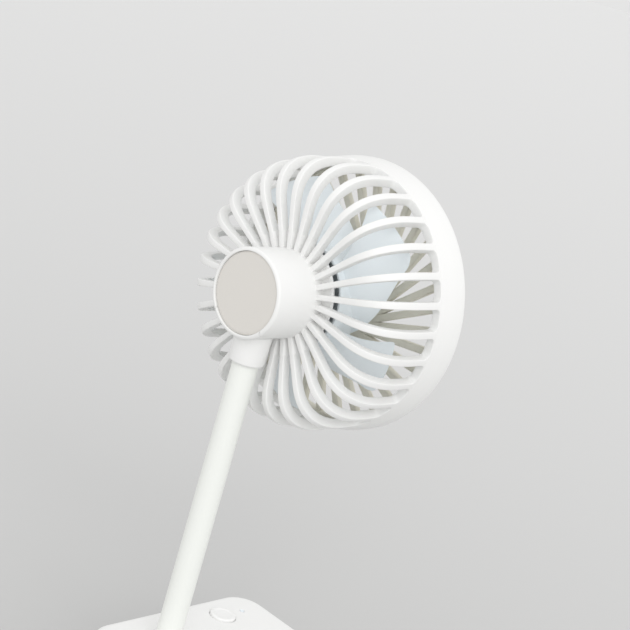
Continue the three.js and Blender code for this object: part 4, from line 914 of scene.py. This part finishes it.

# %% [markdown]
# A rubber dome under the button springs it back. It is not attached to any body.

# %% Dome under the button
DOME_FOOT = 35.9
DOME_TOP = 36.9
dome = turned_upright(rounded([
    (0, DOME_FOOT),
    (2.8, DOME_FOOT),
    (2.0, DOME_TOP, 0.4),
    (0, DOME_TOP),
]), *BUTTON, steps=24)
dome = add_piece(dome, "dome", None, "grey_rubber", ["button_dome"])
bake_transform(dome)

# %% Hinge pin and spring
PIN_R = 2.0
PIN_HEAD_R = 3.4
PIN_HEAD_X, PIN_NECK_X, PIN_END_X = -25.9, -24.7, 26.7
pin = turned_across(rounded([
    (0, PIN_HEAD_X),
    (PIN_HEAD_R, PIN_HEAD_X, 0.6),
    (PIN_HEAD_R, PIN_NECK_X),
    (PIN_R, PIN_NECK_X),
    (PIN_R, PIN_END_X, 0.4),
    (0, PIN_END_X),
]), *HINGE)
add_piece(pin, "pin", "clip_base", "steel", ["hinge_pin"])

WIRE_R = 0.7
COIL_R = 3.7
COIL_TURNS = 7.5
COIL_PITCH = 2.2
LEG_END_Y = 22.3
LEG_ENDS_Z = (7.0, 17.0)


def spring_path():
    """Points along the wire: a leg, seven and a half turns round the pin, and the other leg."""
    steps = 28
    half = COIL_TURNS * COIL_PITCH / 2
    y, z = HINGE
    coil = []
    for i in range(int(COIL_TURNS * steps) + 1):
        angle = 2 * math.pi * i / steps
        x = COIL_PITCH * i / steps - half
        coil.append(Vector((x, y - COIL_R * math.sin(angle), z - COIL_R * math.cos(angle))))
    legs = [Vector((x, LEG_END_Y, z)) for x, z in zip((-half, half), LEG_ENDS_Z)]
    return [legs[0]] + coil + [legs[1]]


def wire(points, radius, sides=10):
    """A round wire along a line of points."""
    loops = []
    across = Vector((1, 0, 0))
    for i, point in enumerate(points):
        along = (points[min(i + 1, len(points) - 1)] - points[max(i - 1, 0)]).normalized()
        across = (across - along * across.dot(along)).normalized()
        other = along.cross(across)
        loops.append([
            point + radius * (across * math.cos(a) + other * math.sin(a))
            for a in (2 * math.pi * k / sides for k in range(sides))
        ])
    return stacked(loops)


spring = add_piece(wire(spring_path(), WIRE_R), "spring", None, "steel", ["jaw_spring"], smooth=60)
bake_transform(spring)

# %% [markdown]
# ## Studio
#
# A wide pale floor under an even sky, with one broad soft light from behind the camera, a little above
# and to its right. The floor gets paler with the distance from the fan: its darker tone near the fan is
# painted shade. The camera sees the far floor's tone beyond the horizon too.

# %% Floor and lights
# The near tone is painted shade: the floor is darker near the fan and paler far from it.
FLOOR_NEAR_SHADE = (0.522, 0.522, 0.517, 1)
FLOOR_FAR = (0.728, 0.728, 0.725, 1)
FLOOR_FADE = 0.6  # distance at which half of the way to the far tone is made, in metres
FLOOR_REACH = 400  # metres
HORIZON = (0.786, 0.786, 0.782, 1)
SKY = 0.95
KEY = 0.95
KEY_FROM = (-0.68, 0.56, 0.47)
KEY_BREADTH = 45  # degrees


def make_floor():
    bm = bmesh.new()
    bmesh.ops.create_grid(bm, x_segments=1, y_segments=1, size=FLOOR_REACH)
    mesh = bpy.data.meshes.new("floor")
    bm.to_mesh(mesh)
    bm.free()
    material = bpy.data.materials.new("floor")
    material.use_nodes = True
    tree = material.node_tree
    shader = tree.nodes["Principled BSDF"]
    shader.inputs["Roughness"].default_value = 0.9
    shader.inputs["Specular IOR Level"].default_value = 0.1
    place = place_node(tree, "ShaderNodeTexCoord", -1100, 0)
    distance = place_node(tree, "ShaderNodeVectorMath", -900, 0, operation="LENGTH")
    beyond = place_node(tree, "ShaderNodeMath", -700, -100, operation="ADD")
    beyond.inputs[1].default_value = FLOOR_FADE
    share = place_node(tree, "ShaderNodeMath", -500, 0, operation="DIVIDE")
    tone = place_node(tree, "ShaderNodeMix", -250, 0, data_type="RGBA")
    tone.inputs["A"].default_value = FLOOR_NEAR_SHADE
    tone.inputs["B"].default_value = FLOOR_FAR
    tree.links.new(place.outputs["Object"], distance.inputs[0])
    tree.links.new(distance.outputs["Value"], beyond.inputs[0])
    tree.links.new(distance.outputs["Value"], share.inputs[0])
    tree.links.new(beyond.outputs[0], share.inputs[1])
    tree.links.new(share.outputs[0], tone.inputs["Factor"])
    tree.links.new(tone.outputs["Result"], shader.inputs["Base Color"])
    mesh.materials.append(material)
    floor = bpy.data.objects.new("floor", mesh)
    scene.collection.objects.link(floor)


def make_world():
    """White light from all round, and the far floor's tone where the sky itself is seen."""
    world = bpy.data.worlds.new("studio")
    world.use_nodes = True
    tree = world.node_tree
    seen = place_node(tree, "ShaderNodeLightPath", -900, 0)
    mirrored = place_node(tree, "ShaderNodeMath", -650, 0, operation="MAXIMUM")
    through = place_node(tree, "ShaderNodeMath", -450, 0, operation="MAXIMUM")
    tone = place_node(tree, "ShaderNodeMix", -250, 0, data_type="RGBA")
    tone.inputs["A"].default_value = (SKY, SKY, SKY, 1)
    tone.inputs["B"].default_value = HORIZON
    tree.links.new(seen.outputs["Is Camera Ray"], mirrored.inputs[0])
    tree.links.new(seen.outputs["Is Glossy Ray"], mirrored.inputs[1])
    tree.links.new(mirrored.outputs[0], through.inputs[0])
    tree.links.new(seen.outputs["Is Transmission Ray"], through.inputs[1])
    tree.links.new(through.outputs[0], tone.inputs["Factor"])
    tree.links.new(tone.outputs["Result"], tree.nodes["Background"].inputs["Color"])
    scene.world = world


def make_key():
    data = bpy.data.lights.new("key", "SUN")
    data.energy = KEY
    data.angle = math.radians(KEY_BREADTH)
    light = bpy.data.objects.new("key", data)
    scene.collection.objects.link(light)
    light.rotation_euler = Vector(KEY_FROM).to_track_quat("Z", "Y").to_euler()


make_floor()
make_world()
make_key()
scene.view_settings.view_transform = "Standard"
print("floor, sky and key light")
